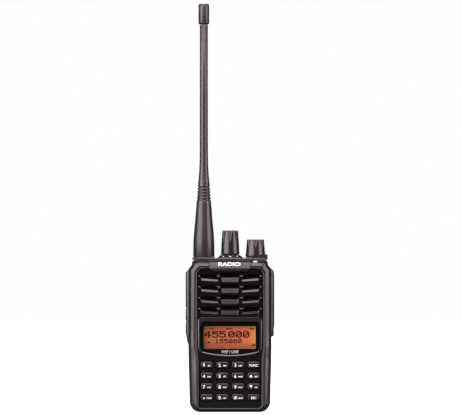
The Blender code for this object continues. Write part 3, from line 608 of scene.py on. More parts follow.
def lens_body(grow):
    """The oval light pipe, or its pocket, facing up and forward on the top rail."""
    lean = Matrix.Rotation(math.radians(-45), 3, "X")
    place = Vector(((LENS.left + LENS.right) / 2, -15.2, 105.9))
    if grow:
        rows = [(1.0, 1.9), (1.0, -2.5)]
    else:
        rows = [(0.50, 0.78), (0.80, 0.66), (0.95, 0.45), (1.0, 0.15), (1.0, -1.4)]

    def build(shape):
        rings = []
        for share, out in rows:
            oval = [((1.8 + grow) * share * math.cos(a), (1.25 + grow) * share * math.sin(a))
                    for a in (2 * math.pi * step / 32 for step in range(32))]
            rings.append([place + lean @ Vector((a, -out, b)) for a, b in oval])
        loft(shape, rings)
    return solid(build)


def led_lens():
    dress(lens_body(0.0), "led_dome", LOOKS["lens"], HOUSING, "lens", "led_lens")


# ---------------------------------------------------------------- front panel

GRILLE_TOP = OPENING_TOP - 3.5        # top of the first row's middle slot
ROW_PITCH = 7.7
SLOT_FLOOR = PANEL.back + 1.0
SIDE_DEPTHS = (0.68, 0.50, 0.46, 0.42)   # depth of the side cells' ramps, from the top row down


def cell(shape, side, top, face, slot, depth):
    """A grille cell: its outline on the panel's face, and the slot that its ramps lead down to.

    face and slot are corners (X, distance below the top, radius), and side mirrors them."""
    def ring(corners, grow=0.0):
        points = rounded([(x, -down, corner) for x, down, corner in corners], 5)
        middle_x = sum(a for a, b in points) / len(points)
        middle_z = sum(b for a, b in points) / len(points)
        return [(side * (a + math.copysign(grow, a - middle_x)), top + b + math.copysign(grow, b - middle_z))
                for a, b in points]

    edge = 0.08
    loft(shape, [
        at_depth(ring(face, 3 * edge), FACE - 2 * edge), at_depth(ring(face, 0.0), FACE + edge),
        at_depth(ring(slot), FACE + depth), at_depth(ring(slot), SLOT_FLOOR),
    ])


def grille(shape):
    """Four rows of a middle and two side cells; lower rows' ramps are a little shallower."""
    for row in range(ROWS):
        top = GRILLE_TOP - row * ROW_PITCH
        cell(shape, 1, top, [(-5.5, 6.05, 0.8), (5.5, 6.05, 0.8), (6.6, 0.0, 0.7), (-6.6, 0.0, 0.7)],
             [(-5.9, 3.0, 0.3), (5.9, 3.0, 0.3), (6.4, 0.2, 0.5), (-6.4, 0.2, 0.5)], 0.81 - 0.01 * row)
        for side in (-1, 1):
            cell(shape, side, top - 0.7,
                 [(8.2, 5.0, 0.35), (19.9, 4.35, 0.7), (21.2, 0.2, 0.8), (10.5, 0.0, 1.4)],
                 [(8.8, 3.8, 0.3), (20.0, 2.75, 0.6), (21.15, 0.25, 0.7), (10.9, 0.2, 1.2)], SIDE_DEPTHS[row])


def grooves_between(shape):
    """A shallow groove along each row, whose lower side slopes up to the face across the ribs and ends."""
    for row in range(ROWS):
        top = GRILLE_TOP - row * ROW_PITCH - 1.3
        side_view = [(FACE - 0.5, top), (FACE + 0.24, top - 0.1), (FACE + 0.04, top - 0.75),
                     (FACE - 0.5, top - 1.1)]
        for ends in ((-22.4, -21.0), (-9.1, -7.0), (7.0, 9.1), (21.0, 22.4)):
            loft(shape, [at_side(side_view, x) for x in ends])


KEYS = [name for name in frame["nodes"] if name.startswith("key_")]


def key_outline(box, grow, segments=6):
    """A key's outline from its box, which is that of the retaining flange behind the cap."""
    inset = FLANGE - grow
    return rectangle((box.left + inset, box.right - inset), (box.foot + inset, box.top - inset),
                     1.5 + grow, segments)


def front_panel():
    outline = panel_outline(GAP)
    inner = panel_outline(GAP + 0.3)
    panel = skin([at_depth(inner, FACE), at_depth(outline, FACE + 0.3), at_depth(outline, PANEL.back)])
    carve(panel, solid(grooves_between))
    carve(panel, solid(grille))

    def openings(shape):
        window = window_outline(0.8)
        loft(shape, [at_depth(window, FACE - 1), at_depth(window, PANEL.back + 1)])
        for name in KEYS:
            box = span(name)
            loft(shape, [
                at_depth(key_outline(box, 0.60), FACE - 0.15), at_depth(key_outline(box, 0.25), FACE + 0.2),
                at_depth(key_outline(box, 0.25), PANEL.back + 1),
            ])
        hole = middle(span("microphone"))
        turn(shape, [(0, FACE - 1), (1.5, FACE - 1), (0.6, FACE + 0.25), (0.6, PANEL.back + 1),
                     (0, PANEL.back + 1)], (hole[0], 0, hole[2]), "Y", 24)

    carve(panel, solid(openings))
    dress(panel, "panel_face", LOOKS["panel"], HOUSING, "panel_plastic", "front_panel", sharp=11)


def window_outline(grow, segments=8):
    """The window's outline: two upper corners, two lower ones and a lower edge that bows down."""
    right, foot, top = GLASS.right + GAP, BEZEL.foot + 1.5, GLASS.top + GAP
    dip = foot - 1.5
    return rounded([(0.0, dip - grow, 78.0)] + mirrored([
        (right - 0.2 + grow, foot + 2.7 - grow, 3.5 + grow), (right + grow, top + grow, 3.0 + grow),
    ]), segments)


def bezel_outline(segments=8):
    """The outer edge of the window's rim, with as many points as window_outline."""
    right, foot, top = BEZEL.right, BEZEL.foot, BEZEL.top
    return rounded([(0.0, foot - 1.6, 80.0)] + mirrored([
        (right - 0.15, foot + 3.1, 4.5), (right, top, 3.2),
    ]), segments)


def window_bezel():
    """The rim: its face slopes outwards, and below the window it slopes in, down to the glass."""
    outer, inner, skirt = bezel_outline(), window_outline(0.0), window_outline(0.5)
    proud, flush = BEZEL.front, FACE - 0.1

    def crown(side, foot, top):
        """One ring of the rim's face: (share of its width, Y) at the sides, below and above the window."""
        ring = []
        for (a, b), (c, d) in zip(outer, inner):
            low = blend_by_height(b, BEZEL.foot + 1.5, BEZEL.foot + 4.0)
            high = 1 - blend_by_height(b, BEZEL.top - 3.0, BEZEL.top - 1.0)
            share, y = (s + (f - s) * low + (t - s) * high for s, f, t in zip(side, foot, top))
            ring.append((a + (c - a) * share, y, b + (d - b) * share))
        return ring

    rings = [
        crown((0.0, FACE - GAP), (0.0, FACE - GAP), (0.0, FACE - GAP)),
        crown((0.04, FACE - 0.42), (0.06, proud + 0.3), (0.02, proud + 0.45)),
        crown((0.46, proud + 0.05), (0.22, proud + 0.03), (0.10, proud + 0.13)),
        crown((0.62, proud), (0.40, proud), (0.30, proud + 0.05)),
        crown((0.85, proud + 0.06), (0.64, proud + 0.05), (0.85, proud)),
        crown((0.98, proud + 0.3), (0.97, FACE - 0.45), (0.97, proud + 0.2)),
        at_depth(inner, flush), at_depth(inner, BEZEL.back), at_depth(skirt, BEZEL.back),
        at_depth(skirt, FACE - GAP),
    ]
    bezel = skin(rings, ring_closed=True)
    dress(bezel, "window_rim", LOOKS["rim"], HOUSING, "case_plastic", "window_bezel", sharp=35)


# ---------------------------------------------------------------- display

def lettering(name, words, place, size, look, body, slot, wide=1.0, bold=0.0, lean=0.0):
    """Flat printed lettering, centred on a place, facing the front or leaning back by some degrees."""
    curve = bpy.data.curves.new(name, "FONT")
    curve.body = words
    curve.size = size * MM
    curve.align_x = "CENTER"
    curve.align_y = "CENTER"
    curve.extrude = PRINT * MM / 2
    curve.offset = bold * MM
    curve.resolution_u = 4
    text = bpy.data.objects.new(name, curve)
    bpy.context.scene.collection.objects.link(text)
    mesh = bpy.data.meshes.new_from_object(text.evaluated_get(bpy.context.evaluated_depsgraph_get()))
    bpy.data.objects.remove(text)
    lows = [min(v.co[axis] for v in mesh.vertices) for axis in (0, 1)]
    highs = [max(v.co[axis] for v in mesh.vertices) for axis in (0, 1)]
    centre = Vector(((lows[0] + highs[0]) / 2, (lows[1] + highs[1]) / 2, 0))
    stand = Matrix.Rotation(math.radians(90 - lean), 4, "X")
    mesh.transform(Matrix.Translation(Vector(place) * MM) @ stand @ Matrix.Diagonal((wide, 1, 1, 1))
                   @ Matrix.Translation(-centre))
    made = bpy.data.objects.new(name, mesh)
    bpy.context.scene.collection.objects.link(made)
    return dress(made, name, look, body, slot)


DOTS = {
    "0": (".###.", "#...#", "#..##", "#.#.#", "##..#", "#...#", ".###."),
    "1": ("..#..", ".##..", "..#..", "..#..", "..#..", "..#..", ".###."),
    "4": ("...#.", "..##.", ".#.#.", "#..#.", "#####", "...#.", "...#."),
    "5": ("#####", "#....", "####.", "....#", "....#", "#...#", ".###."),
}


def dotted(name, words, place, dot, pitch, point):
    """Display digits made of square dots, from their left edge and foot; point is what a point takes up."""
    thick, spill = 0.03, dot[1] * 0.24

    def build(shape):
        x, y, z = place
        for letter in words:
            if letter == ".":
                block(shape, (x - dot[0], x), (y - thick, y), (z, z + dot[1] * 1.4))
                x += point
                continue
            for row, line in enumerate(DOTS[letter]):
                for column, filled in enumerate(line):
                    if filled == "#":
                        left, foot = x + column * dot[0], z + (6 - row) * dot[1]
                        block(shape, (left - spill, left + dot[0] + spill), (y - thick, y),
                              (foot - spill, foot + dot[1] + spill))
            x += pitch
    dress(solid(build), name, LOOKS["ink"], HOUSING, "window_plastic")


def icons(shape):
    """The small signs along the display's edges: marks in the top row, an arrow and two level bars."""
    y = (LCD.front - 0.05, LCD.front - 0.02)
    for first, count, foot, high in ((-14.6, 4, 58.6, 0.8), (-2.9, 5, 58.4, 1.1), (14.2, 3, 58.4, 1.2)):
        for mark in range(count):
            block(shape, (first + mark * 0.95, first + mark * 0.95 + 0.75), y, (foot, foot + high), 0.1)
    loft(shape, [at_depth([(-17.9, 54.3), (-16.9, 55.0), (-17.9, 55.7)], d) for d in y])
    block(shape, (-15.8, -13.9), y, (48.7, 49.5), 0.15)
    block(shape, (-15.3, -14.4), y, (49.4, 49.9), 0.1)
    for step in range(4):
        block(shape, (14.8 + step * 0.8, 15.45 + step * 0.8), y, (46.6, 47.2 + step * 0.35), 0.05)


def display():
    """A black window border round a clear pane, and behind it the lit display with its dark signs."""
    outline = window_outline(-GAP)
    edge = window_outline(-GAP - 0.15)
    lit = (-18.5, 18.1), (44.75, 60.7)
    border = skin([
        at_depth(edge, GLASS.front), at_depth(outline, GLASS.front + 0.15), at_depth(outline, GLASS.back)])
    carve(border, solid(lambda shape: block(shape, lit[0], (GLASS.front - 1, GLASS.back + 1), lit[1], 0.4)))
    dress(border, "window_border", LOOKS["mask"], HOUSING, "window_plastic", "display_window")

    inset = 0.02
    pane = solid(lambda shape: block(
        shape, (lit[0][0] + inset, lit[0][1] - inset), (GLASS.front + 0.02, GLASS.front + 0.5),
        (lit[1][0] + inset, lit[1][1] - inset), 0.38))
    dress(pane, "window_glass", LOOKS["glass"], HOUSING, "window_plastic")

    screen = solid(lambda shape: block(
        shape, (LCD.left, LCD.right), (LCD.front, LCD.back), (LCD.foot, LCD.top), 0.3))
    dress(screen, "display_screen", LOOKS["display"], HOUSING, "display", "lcd_module")
    front = LCD.front - 0.02
    dotted("digits_large", "455.000", (-17.75, front, 52.7), (0.87, 0.62), 5.18, 1.1)
    dotted("digits_small", "155.000", (-10.4, front, 48.7), (0.50, 0.41), 3.2, 0.1)
    dress(solid(icons), "display_signs", LOOKS["ink"], HOUSING, "window_plastic")
    lettering("window_caption", "VHF / UHF", (0.0, GLASS.front - 0.02, 42.7), 3.0, LOOKS["silver"], HOUSING,
              None, wide=0.90, bold=0.05)


# ---------------------------------------------------------------- keys

LEGENDS = {
    "key_1": ("1", "QZ"), "key_2": ("2", "ABC"), "key_3": ("3", "DEF"), "key_func": ("FUNC", ""),
    "key_4": ("4", "GHI"), "key_5": ("5", "JKL"), "key_6": ("6", "MNO"), "key_up": ("up", "VFO"),
    "key_7": ("7", "PRS"), "key_8": ("8", "TUV"), "key_9": ("9", "WXY"), "key_down": ("down", "MR"),
    "key_star": ("*", "TONE"), "key_0": ("0", "SET"), "key_hash": ("#", "LOCK"), "key_esc": ("ESC", ""),
}


def flat_print(name, outline, ink, body):
    """A white print of an outline drawn in X and Z."""
    dress(skin([at_depth(outline, ink), at_depth(outline, ink + PRINT)]), name, LOOKS["white"], body, None)


def keys():
    for name, (main, small) in LEGENDS.items():
        box = span(name)
        x, _, z = middle(box)
        front = box.front
        rows = [(-1.15, front), (-0.75, front + 0.02), (-0.42, front + 0.10), (-0.18, front + 0.28),
                (-0.03, front + 0.55), (0.0, front + 0.85)]
        rings = [at_depth(key_outline(box, grow), y) for grow, y in rows]
        behind = [(0.0, KEY_BACK[0]), (FLANGE, KEY_BACK[0]), (FLANGE, KEY_BACK[1]), (-1.2, KEY_BACK[1]),
                  (-1.2, box.back)]
        rings += [at_depth(key_outline(box, grow), y) for grow, y in behind]
        cap = skin(rings)
        body = name + "_cap"
        dress(cap, name + "_face", LOOKS["key"], body, "key_plastic", name, sharp=50)

        ink = front - 0.03
        if main == "1":
            one = [(x - 2.05, z - 1.1), (x - 1.55, z - 1.1), (x - 1.55, z + 1.05), (x - 1.95, z + 1.05),
                   (x - 2.65, z + 0.6), (x - 2.65, z + 0.15), (x - 2.05, z + 0.45)]
            flat_print(name + "_legend", one, ink, body)
        elif main in ("up", "down"):
            tip = 1.0 if main == "up" else -1.0
            arrow = [(x - 2.9, z - 0.95 * tip), (x - 0.9, z - 0.95 * tip), (x - 1.9, z + 1.0 * tip)]
            flat_print(name + "_legend", arrow, ink, body)
        elif small:
            lettering(name + "_legend", main, (x - 1.9, ink, z - (0.6 if main == "*" else 0.2)), 3.3,
                      LOOKS["white"], body, None, bold=0.02)
        else:
            lettering(name + "_legend", main, (x + 0.1, ink, z - 0.3), 2.3, LOOKS["white"], body, None,
                      bold=0.02)
        if small:
            lettering(name + "_caption", small, (x + 1.7, ink, z - 0.5), 1.35, LOOKS["white"], body, None,
                      bold=0.02)


# ---------------------------------------------------------------- top side

def tab_print():
    """A generic word on the sloping tab."""
    lettering("tab_print", "RADIO", (-0.4, CASE.front + 0.80, 104.5), 3.7, LOOKS["white"], HOUSING, None,
              wide=1.40, bold=0.06, lean=15.5)


def top_deck():
    outline = rounded([
        (DECK.left, DECK.front, 2.0), (DECK.right, DECK.front, 2.0),
        (DECK.right, DECK.back, 3.0), (DECK.left, DECK.back, 3.0),
    ], FINE)
    plate_top = DECK.foot + 1.4
    sunk = plate_top - 0.7            # where raised parts of the deck start, inside its plate
    bore_ends = 105.0, 115.0
    inner = [(a * 0.996, DECK.front + (b - DECK.front) * 0.99 + 0.1) for a, b in outline]
    deck = skin([
        at_height(outline, DECK.foot), at_height(outline, plate_top - 0.12), at_height(inner, plate_top)])

    volume = middle(span("volume_knob"))
    channel = middle(span("channel_knob"))
    antenna = middle(SHEATH)
    collar_top = span("volume_knob").foot - SEAT_GAP

    def collar(shape):
        profile = rounded([(9.6, sunk, 0.1), (9.4, plate_top + 0.3, 0.4), (6.9, collar_top, 0.4),
                           (4.0, collar_top, 0.1), (4.0, sunk, 0.1)], 3)
        turn(shape, profile, (volume[0], volume[1], 0), "Z", ROUND, closed=True)

    carve(deck, solid(collar), "UNION")

    def seat(shape):
        """The round seat that the antenna screws down to."""
        top = SHEATH.foot - SEAT_GAP
        profile = [(3.0, sunk), (8.2, sunk), (8.0, top - 0.15), (7.85, top), (3.0, top)]
        turn(shape, profile, (antenna[0], antenna[1], 0), "Z", ROUND, closed=True)

    carve(deck, solid(seat), "UNION")

    def shroud(shape):
        side = rounded([
            (11.0, sunk, 0.1), (26.65, sunk, 0.1), (26.65, 111.4, 0.5),
            (22.6, 111.25, 2.0), (16.0, plate_top + 0.5, 2.0),
        ], 4)
        loft(shape, [at_depth(side, -10.2), at_depth(side, 4.0)])

    carve(deck, solid(shroud), "UNION")

    def well(shape):
        around = circle((channel[0], channel[1]), 7.75, 32, math.pi, math.pi)
        around += [(channel[0] + 7.75, channel[1]), (channel[0] + 7.75, 6.0), (channel[0] - 7.75, 6.0)]
        loft(shape, [at_height(around, plate_top + 0.35), at_height(around, 115.0)])

    carve(deck, solid(well))

    def ring(shape):
        """A low ring in the well, just under the channel knob."""
        top = span("channel_knob").foot - SEAT_GAP
        profile = [(3.6, sunk), (7.5, sunk), (7.0, top), (3.6, top)]
        turn(shape, profile, (channel[0], channel[1], 0), "Z", ROUND, closed=True)

    carve(deck, solid(ring), "UNION")

    def bores(shape):
        rod(shape, BORE, bore_ends, (channel[0], channel[1], 0))
        rod(shape, BORE, bore_ends, (volume[0], volume[1], 0))
        rod(shape, 3.9, bore_ends, (antenna[0], antenna[1], 0))

    carve(deck, solid(bores))
    soften(deck, 0.15, 2, 40)
    dress(deck, "deck_cover", LOOKS["case"], HOUSING, "case_plastic", "top_deck")

    def marks(shape):
        """Two dots and a triangle round the front of the collar."""
        height = plate_top + 1.05
        run = (9.4 - 6.9) / (collar_top - plate_top - 0.3)
        radius = 9.4 - (height - plate_top - 0.3) * run + 0.05
        slope = Matrix.Rotation(-math.atan(run), 3, "X")
        for angle in (-36, 0, 36):
            turned = Matrix.Rotation(math.radians(angle), 3, "Z")
            if angle:
                flat = circle((0, 0), 0.42, 16)
            else:
                flat = [(-0.6, -0.45), (0.6, -0.45), (0.0, 0.6)]
            base = Vector((volume[0], volume[1], height))
            loft(shape, [
                [base + turned @ (Vector((0, -radius, 0)) + slope @ Vector((a, -out, b))) for a, b in flat]
                for out in (0.04, -0.04)
            ])
    dress(solid(marks), "collar_marks", LOOKS["white"], HOUSING, None)


FLUTES = 8


def knob(name, body, flute_share):
    """A tapered knob whose flutes are cut from the top and run out to points part way down."""
    box = span(name)
    x, y, _ = middle(box)
    foot_radius = (box.right - box.left) / 2
    height = box.top - box.foot
    top_radius = foot_radius * 0.865
    flute_foot = box.top - height * flute_share
    per_flute = 16
    sides = FLUTES * per_flute
    rows = []
    edge = [(0.0, -0.9), (0.12, -0.42), (0.35, -0.16), (0.65, -0.04), (1.0, 0.0)]
    for up, shrink in edge:
        rows.append((foot_radius + shrink, box.foot + up))
    for step in range(1, 21):
        share = step / 20
        z = box.foot + 1.0 + (height - 1.6) * share
        rows.append((foot_radius + (top_radius - foot_radius) * share ** 1.1, z))
    for up, shrink in ((0.40, 0.05), (0.22, 0.18), (0.08, 0.40), (0.0, 0.75)):
        rows.append((top_radius - shrink, box.top - up))

    def ring(radius, z):
        depth = max(0.0, (z - flute_foot) / (box.top - flute_foot)) * 1.15
        points = []
        for index in range(sides):
            angle = 2 * math.pi * index / sides - math.pi / 2
            off = (index + per_flute // 2) % per_flute - per_flute // 2
            away = abs(off) * 2 * math.pi / sides
            groove = radius - depth + abs(away) * radius * 0.85
            reach = min(radius, groove)
            points.append((x + reach * math.cos(angle), y + reach * math.sin(angle), z))
        return points

    made = skin([ring(radius, z) for radius, z in rows])
    carve(made, solid(lambda shape: rod(shape, BORE, (box.foot - 1, box.top - 3), (x, y, 0))))
    dress(made, name + "_cap", LOOKS["knob"], body, "knob_plastic", name, sharp=28)


def antenna():
    x, y, _ = middle(SHEATH)
    foot, top = SHEATH.foot, SHEATH.top
    boot = SHEATH.right - x
    outer = [
        (boot - 0.5, foot), (boot - 0.12, foot + 0.12), (boot, foot + 0.5), (boot, foot + 11.0),
        (boot - 0.18, foot + 14.0), (boot - 0.75, foot + 20.9), (boot - 1.35, foot + 26.5),
        (boot - 1.75, foot + 32.2), (boot - 2.25, foot + 37.8),
    ]
    profile = [(4.6, foot)] + outer
    for groove in range(5):
        low = foot + 40.1 + groove * 2.2
        skin = 5.22 - groove * 0.165
        profile += [(skin, low - 0.45), (skin - 0.08, low - 0.12), (skin - 0.32, low + 0.06),
                    (skin - 0.62, low + 0.22), (skin - 0.72, low + 0.55), (skin - 0.66, low + 0.90),
                    (skin - 0.40, low + 1.10), (skin - 0.13, low + 1.26)]
    profile += [(3.92, foot + 54.4), (3.4, foot + 60.4), (3.12, foot + 66.6), (3.0, foot + 74.6),
                (2.95, foot + 110.0), (2.9, top - 0.3), (2.7, top), (1.1, top), (1.1, 124.0), (4.6, 122.0)]
    sheath = solid(lambda shape: turn(shape, profile, (x, y, 0), "Z", ROUND, closed=True))
    dress(sheath, "antenna_whip", LOOKS["antenna"], "antenna", "rubber", "antenna_sheath", sharp=45)

    low, high, radius = TIP.foot, TIP.top - 0.02, (TIP.right - TIP.left) / 2
    cap = [(0, low), (2.8, low), (3.25, low + 0.15), (3.7, low + 0.75), (radius, low + 1.4),
           (radius, high - 1.4), (radius - 0.12, high - 0.7), (radius - 0.5, high - 0.22),
           (radius - 1.2, high), (0, high)]
    tip = solid(lambda shape: turn(shape, cap, (x, y, 0), "Z", ROUND))
    dress(tip, "antenna_cap", LOOKS["antenna"], "antenna", "rubber", "antenna_tip", sharp=45)


# ---------------------------------------------------------------- sides

def quarter_round(radius, steps=5):
    """(distance along the first face, distance in from the second) round a quarter turn, first face last."""
    turns = [math.pi / 2 * step / steps for step in range(steps + 1)]
    return [(radius * (1 - math.cos(angle)), radius * (1 - math.sin(angle))) for angle in turns]


def side_pad():
    """The rubber strip on the left side, rounded towards the front, with openings for its three keys."""
    root, out = -28.0, PAD.left
    outline = rounded([
        (root, PAD.foot, 0.1), (root, PAD.top, 0.3), (-29.4, PAD.top, 0.8), (out, PAD.top - 2.8, 1.2),
        (out, PAD.foot + 6.1, 2.0), (-30.35, PAD.foot + 2.3, 1.5), (-29.5, PAD.foot, 0.5),
    ], 6)

    def ring(inset, y):
        share = 1 - inset / (root - out)
        centre = (PAD.foot + PAD.top) / 2
        squash = 1 - inset * 0.012
        return [(root + (x - root) * share, y, centre + (z - centre) * squash) for x, z in outline]

    rings = [ring(inset, PAD.front + back) for back, inset in quarter_round(2.7, 6)]
    rings += [ring(inset, PAD.back - ahead) for ahead, inset in reversed(quarter_round(0.8, 3))]
    pad = skin(rings)

    def windows(shape):
        for name in SIDE_KEYS:
            box = span(name)
            outline = rectangle((box.front - GAP, box.back + GAP), (box.foot - GAP, box.top + GAP), 1.1, 5)
            loft(shape, [at_side(outline, x) for x in SIDE_CUT])

    carve(pad, solid(windows))
    soften(pad, 0.2, 2, 50)
    dress(pad, "side_pad", LOOKS["rubber"], HOUSING, "rubber", "side_key_pad")


def side_key(name, body, ribs):
    """A key in the side pad: rounded towards the front, ribbed for the fingertip, with its plunger."""
    box = span(name)
    _, depth, height = middle(box)
    half_y, half_z = (box.back - box.front) / 2, (box.top - box.foot) / 2
    face = box.left + 0.03
    root = -28.9

    def ring(front_in, edge_in, x):
        back, z = half_y - edge_in, half_z - edge_in
        radius = min(0.8, (2 * half_y - front_in - edge_in) * 0.4)
        across = depth - half_y + front_in, depth + back
        return at_side(rectangle(across, (height - z, height + z), radius), x)

    rings = [at_side(rectangle((depth - 0.45, depth + 0.45), (height - 0.9, height + 0.9), 0.2), x)
             for x in (box.right, root)]
    rings += [ring(0.0, 0.0, root), ring(0.0, 0.0, face + 2.3)]
    crown = (1.7, 0.08), (1.2, 0.32), (0.75, 0.68), (0.4, 1.08), (0.15, 1.55), (0.0, 2.1)
    rings += [ring(front_in, max(0.0, 0.45 - inset) ** 2, face + inset) for inset, front_in in crown]
    made = skin(rings)

    def grooves(shape):
        for rib in range(ribs):
            z = height + (rib - (ribs - 1) / 2) * 2.2
            outline = rectangle((depth - 0.6, depth + 2.0), (z - 0.4, z + 0.4), 0.38)
            wide = rectangle((depth - 0.9, depth + 2.3), (z - 0.7, z + 0.7), 0.6)
            loft(shape, [at_side(wide, box.left - 0.2), at_side(outline, box.left + 0.3)])

    carve(made, solid(grooves))
    dress(made, name + "_face", LOOKS["rubber"], body, "rubber", name, sharp=50)


def jack_cover():
    """The rubber cover over the sockets, hinged at its foot and rounded towards the front."""
    x, z = frame_joint("cover_swing")[0] / MM, frame_joint("cover_swing")[2] / MM
    root, out = COVER.left, COVER.right - 0.02
    low = circle((x, z), 1.4, 12, math.pi, math.radians(150))
    outline = low + rounded([
        (out, z + 0.3, 0.15), (out, 97.9, 1.0), (30.8, 99.9, 0.8), (29.7, COVER.top, 0.5),
        (root, COVER.top, 0.15),
    ], 5)

    def ring(inset, y):
        share = 1 - inset / (out - root)
        return [(root + (a - root) * share, y, b) for a, b in outline]

    rings = [ring(inset, COVER.front + back * 1.4) for back, inset in quarter_round(2.6, 7)]
    rings += [ring(inset, COVER.back - ahead) for ahead, inset in reversed(quarter_round(0.8, 3))]
    cover = skin(rings)

    def grip(shape):
        depth = middle(COVER)[1] + 1.0
        for rib in range(7):
            height = 86.0 + rib * 1.7
            outline = rectangle((depth - 1.6, depth + 2.0), (height - 0.4, height + 0.4), 0.35)
            loft(shape, [at_side(outline, out + 0.5), at_side(outline, out - 0.35)])

    carve(cover, solid(grip))
    soften(cover, 0.12, 2, 50)
    dress(cover, "jack_flap", LOOKS["rubber"], "cover", "rubber", "jack_cover")


def frame_joint(name):
    return next(joint for joint in frame["joints"] if joint["name"] == name)["pos_m"]


# ---------------------------------------------------------------- back

def chassis():
    """The casting behind the front case, with the block and cooling ribs above the battery."""
    outline = case_outline()
    body = skin([at_depth(case_outline(0.25), CHASSIS.front), at_depth(outline, CHASSIS.front + 0.25),
                 at_depth(outline, 4.5)])
    full = rounded(mirrored([
        (HALF, 82.3, 1.2), (HALF, SHOULDER_LOW, 2.2), (DECK_HALF, SHOULDER_HIGH, 1.6),
        (DECK_HALF, CASE.top, 1.8),
    ]), FINE)
    centre = 94.0
    rings = []
    back = CHASSIS.back - 0.7
    for share, y in ((0.0, 3.0), (0.0, 9.8), (0.08, 10.9), (0.28, 11.9), (0.6, 12.8), (1.0, back)):
        wide, high = 1 - 0.08 * share, 1 - 0.07 * share
        rings.append(at_depth([(a * wide, centre + (b - centre) * high) for a, b in full], y))
    carve(body, skin(rings), "UNION")

    def ribs(shape):
        for side in (-1, 1):
            for rib in range(5):
                x = side * (13.2 + rib * 2.4)
                block(shape, (x - 0.5, x + 0.5), (back - 0.8, back + 0.7), (86.0, 101.5), 0.45)

    carve(body, solid(ribs), "UNION")
    hollow = case_outline(2.2)
    carve(body, skin([at_depth(hollow, -2.1), at_depth(hollow, 2.2)]))

    def openings(shape):
        block(shape, (-BAY_HALF, BAY_HALF), (-4.0, 10.2), (94.5, 110.0))
        for side in (-1, 1):
            block(shape, sorted((side * (GUIDE[0] - GAP), side * (GUIDE[1] + GAP))), (2.9, 8.0), (-2.0, 79.0))
        contacts = span("battery_contacts")
        block(shape, (contacts.left - GAP, contacts.right + GAP), (3.0, 6.0),
              (contacts.foot - GAP, contacts.top + GAP))
        for name in ("case_screw_left", "case_screw_right"):
            x, _, z = middle(span(name))
            rod(shape, 2.5, (3.0, 6.0), (x, 0, z), "Y")

    carve(body, solid(openings))
    soften(body, 0.15, 2, 45)
    dress(body, "rear_casting", LOOKS["metal_body"], HOUSING, "diecast", "chassis")


def battery():
    half, top = PACK.right, PACK.top
    outline = rounded(mirrored([(half, 0.0, 6.5), (half, top, 2.0)]), FINE)
    centre = top / 2

    def shrunk(by, y):
        wide, high = 1 - by / half, 1 - by / centre
        return at_depth([(a * wide, centre + (b - centre) * high) for a, b in outline], y)

    rows = [(0.15, PACK.front), (0.0, PACK.front + 0.2), (0.0, 13.2)]
    for step in range(1, 9):
        angle = math.pi / 2 * step / 8
        rows.append((3.0 * (1 - math.cos(angle)), 13.2 + 4.9 * math.sin(angle)))
    rows.append((4.2, PACK.back))
    case = skin([shrunk(by, y) for by, y in rows])

    def inside(shape):
        wall = rounded(mirrored([(half - 1.8, 12.4, 1.5), (half - 1.8, top - 1.8, 1.0)]), 4)
        small = [(a * 0.95, 46.0 + (b - 46.0) * 0.96) for a, b in wall]
        loft(shape, [at_depth(wall, 5.0), at_depth(small, 16.0)])

    carve(case, solid(inside))

    def details(shape):
        block(shape, (LATCH.left - GAP, LATCH.right + GAP), (15.0, 20.0),
              (LATCH.foot - GAP, LATCH.top + GAP), 1.0)
        for side in (-1, 1):
            for groove in range(6):
                z = 8.0 + groove * 2.6
                block(shape, sorted((side * 13.0, side * 22.5)), (PACK.back - 0.45, 20.0), (z, z + 1.0), 0.45)

    carve(case, solid(details))
    soften(case, 0.15, 2, 40)
    dress(case, "battery_shell", LOOKS["case"], "battery", "case_plastic", "battery_case")

    plate = skin([at_depth(outline, 4.8), at_depth(outline, PLATE.back)])

    def rails(shape):
        for side in (-1, 1):
            block(shape, sorted(side * x for x in GUIDE), (PLATE.front, 5.6), (1.0, 78.5), 0.3)

    carve(plate, solid(rails), "UNION")
    strip = span("battery_terminals")
    carve(plate, solid(lambda shape: block(
        shape, (strip.left - 0.4, strip.right + 0.4), (4.0, 6.0), (strip.foot - 0.4, strip.top + 0.4), 0.3)))
    soften(plate, 0.12, 2, 40)
    dress(plate, "battery_front", LOOKS["case"], "battery", "case_plastic", "battery_plate")

    latch = solid(lambda shape: block(
        shape, (LATCH.left, LATCH.right), (LATCH.front, LATCH.back), (LATCH.foot, LATCH.top), 0.8))

    def grip(shape):
        for line in range(4):
            z = LATCH.foot + 1.4 + line * 1.25
            block(shape, (LATCH.left + 1.2, LATCH.right - 1.2), (LATCH.back - 0.35, 21.0), (z, z + 0.6), 0.25)

    carve(latch, solid(grip))
    soften(latch, 0.25, 3, 40)
    dress(latch, "battery_button", LOOKS["key"], "battery_release", "key_plastic", "battery_latch")


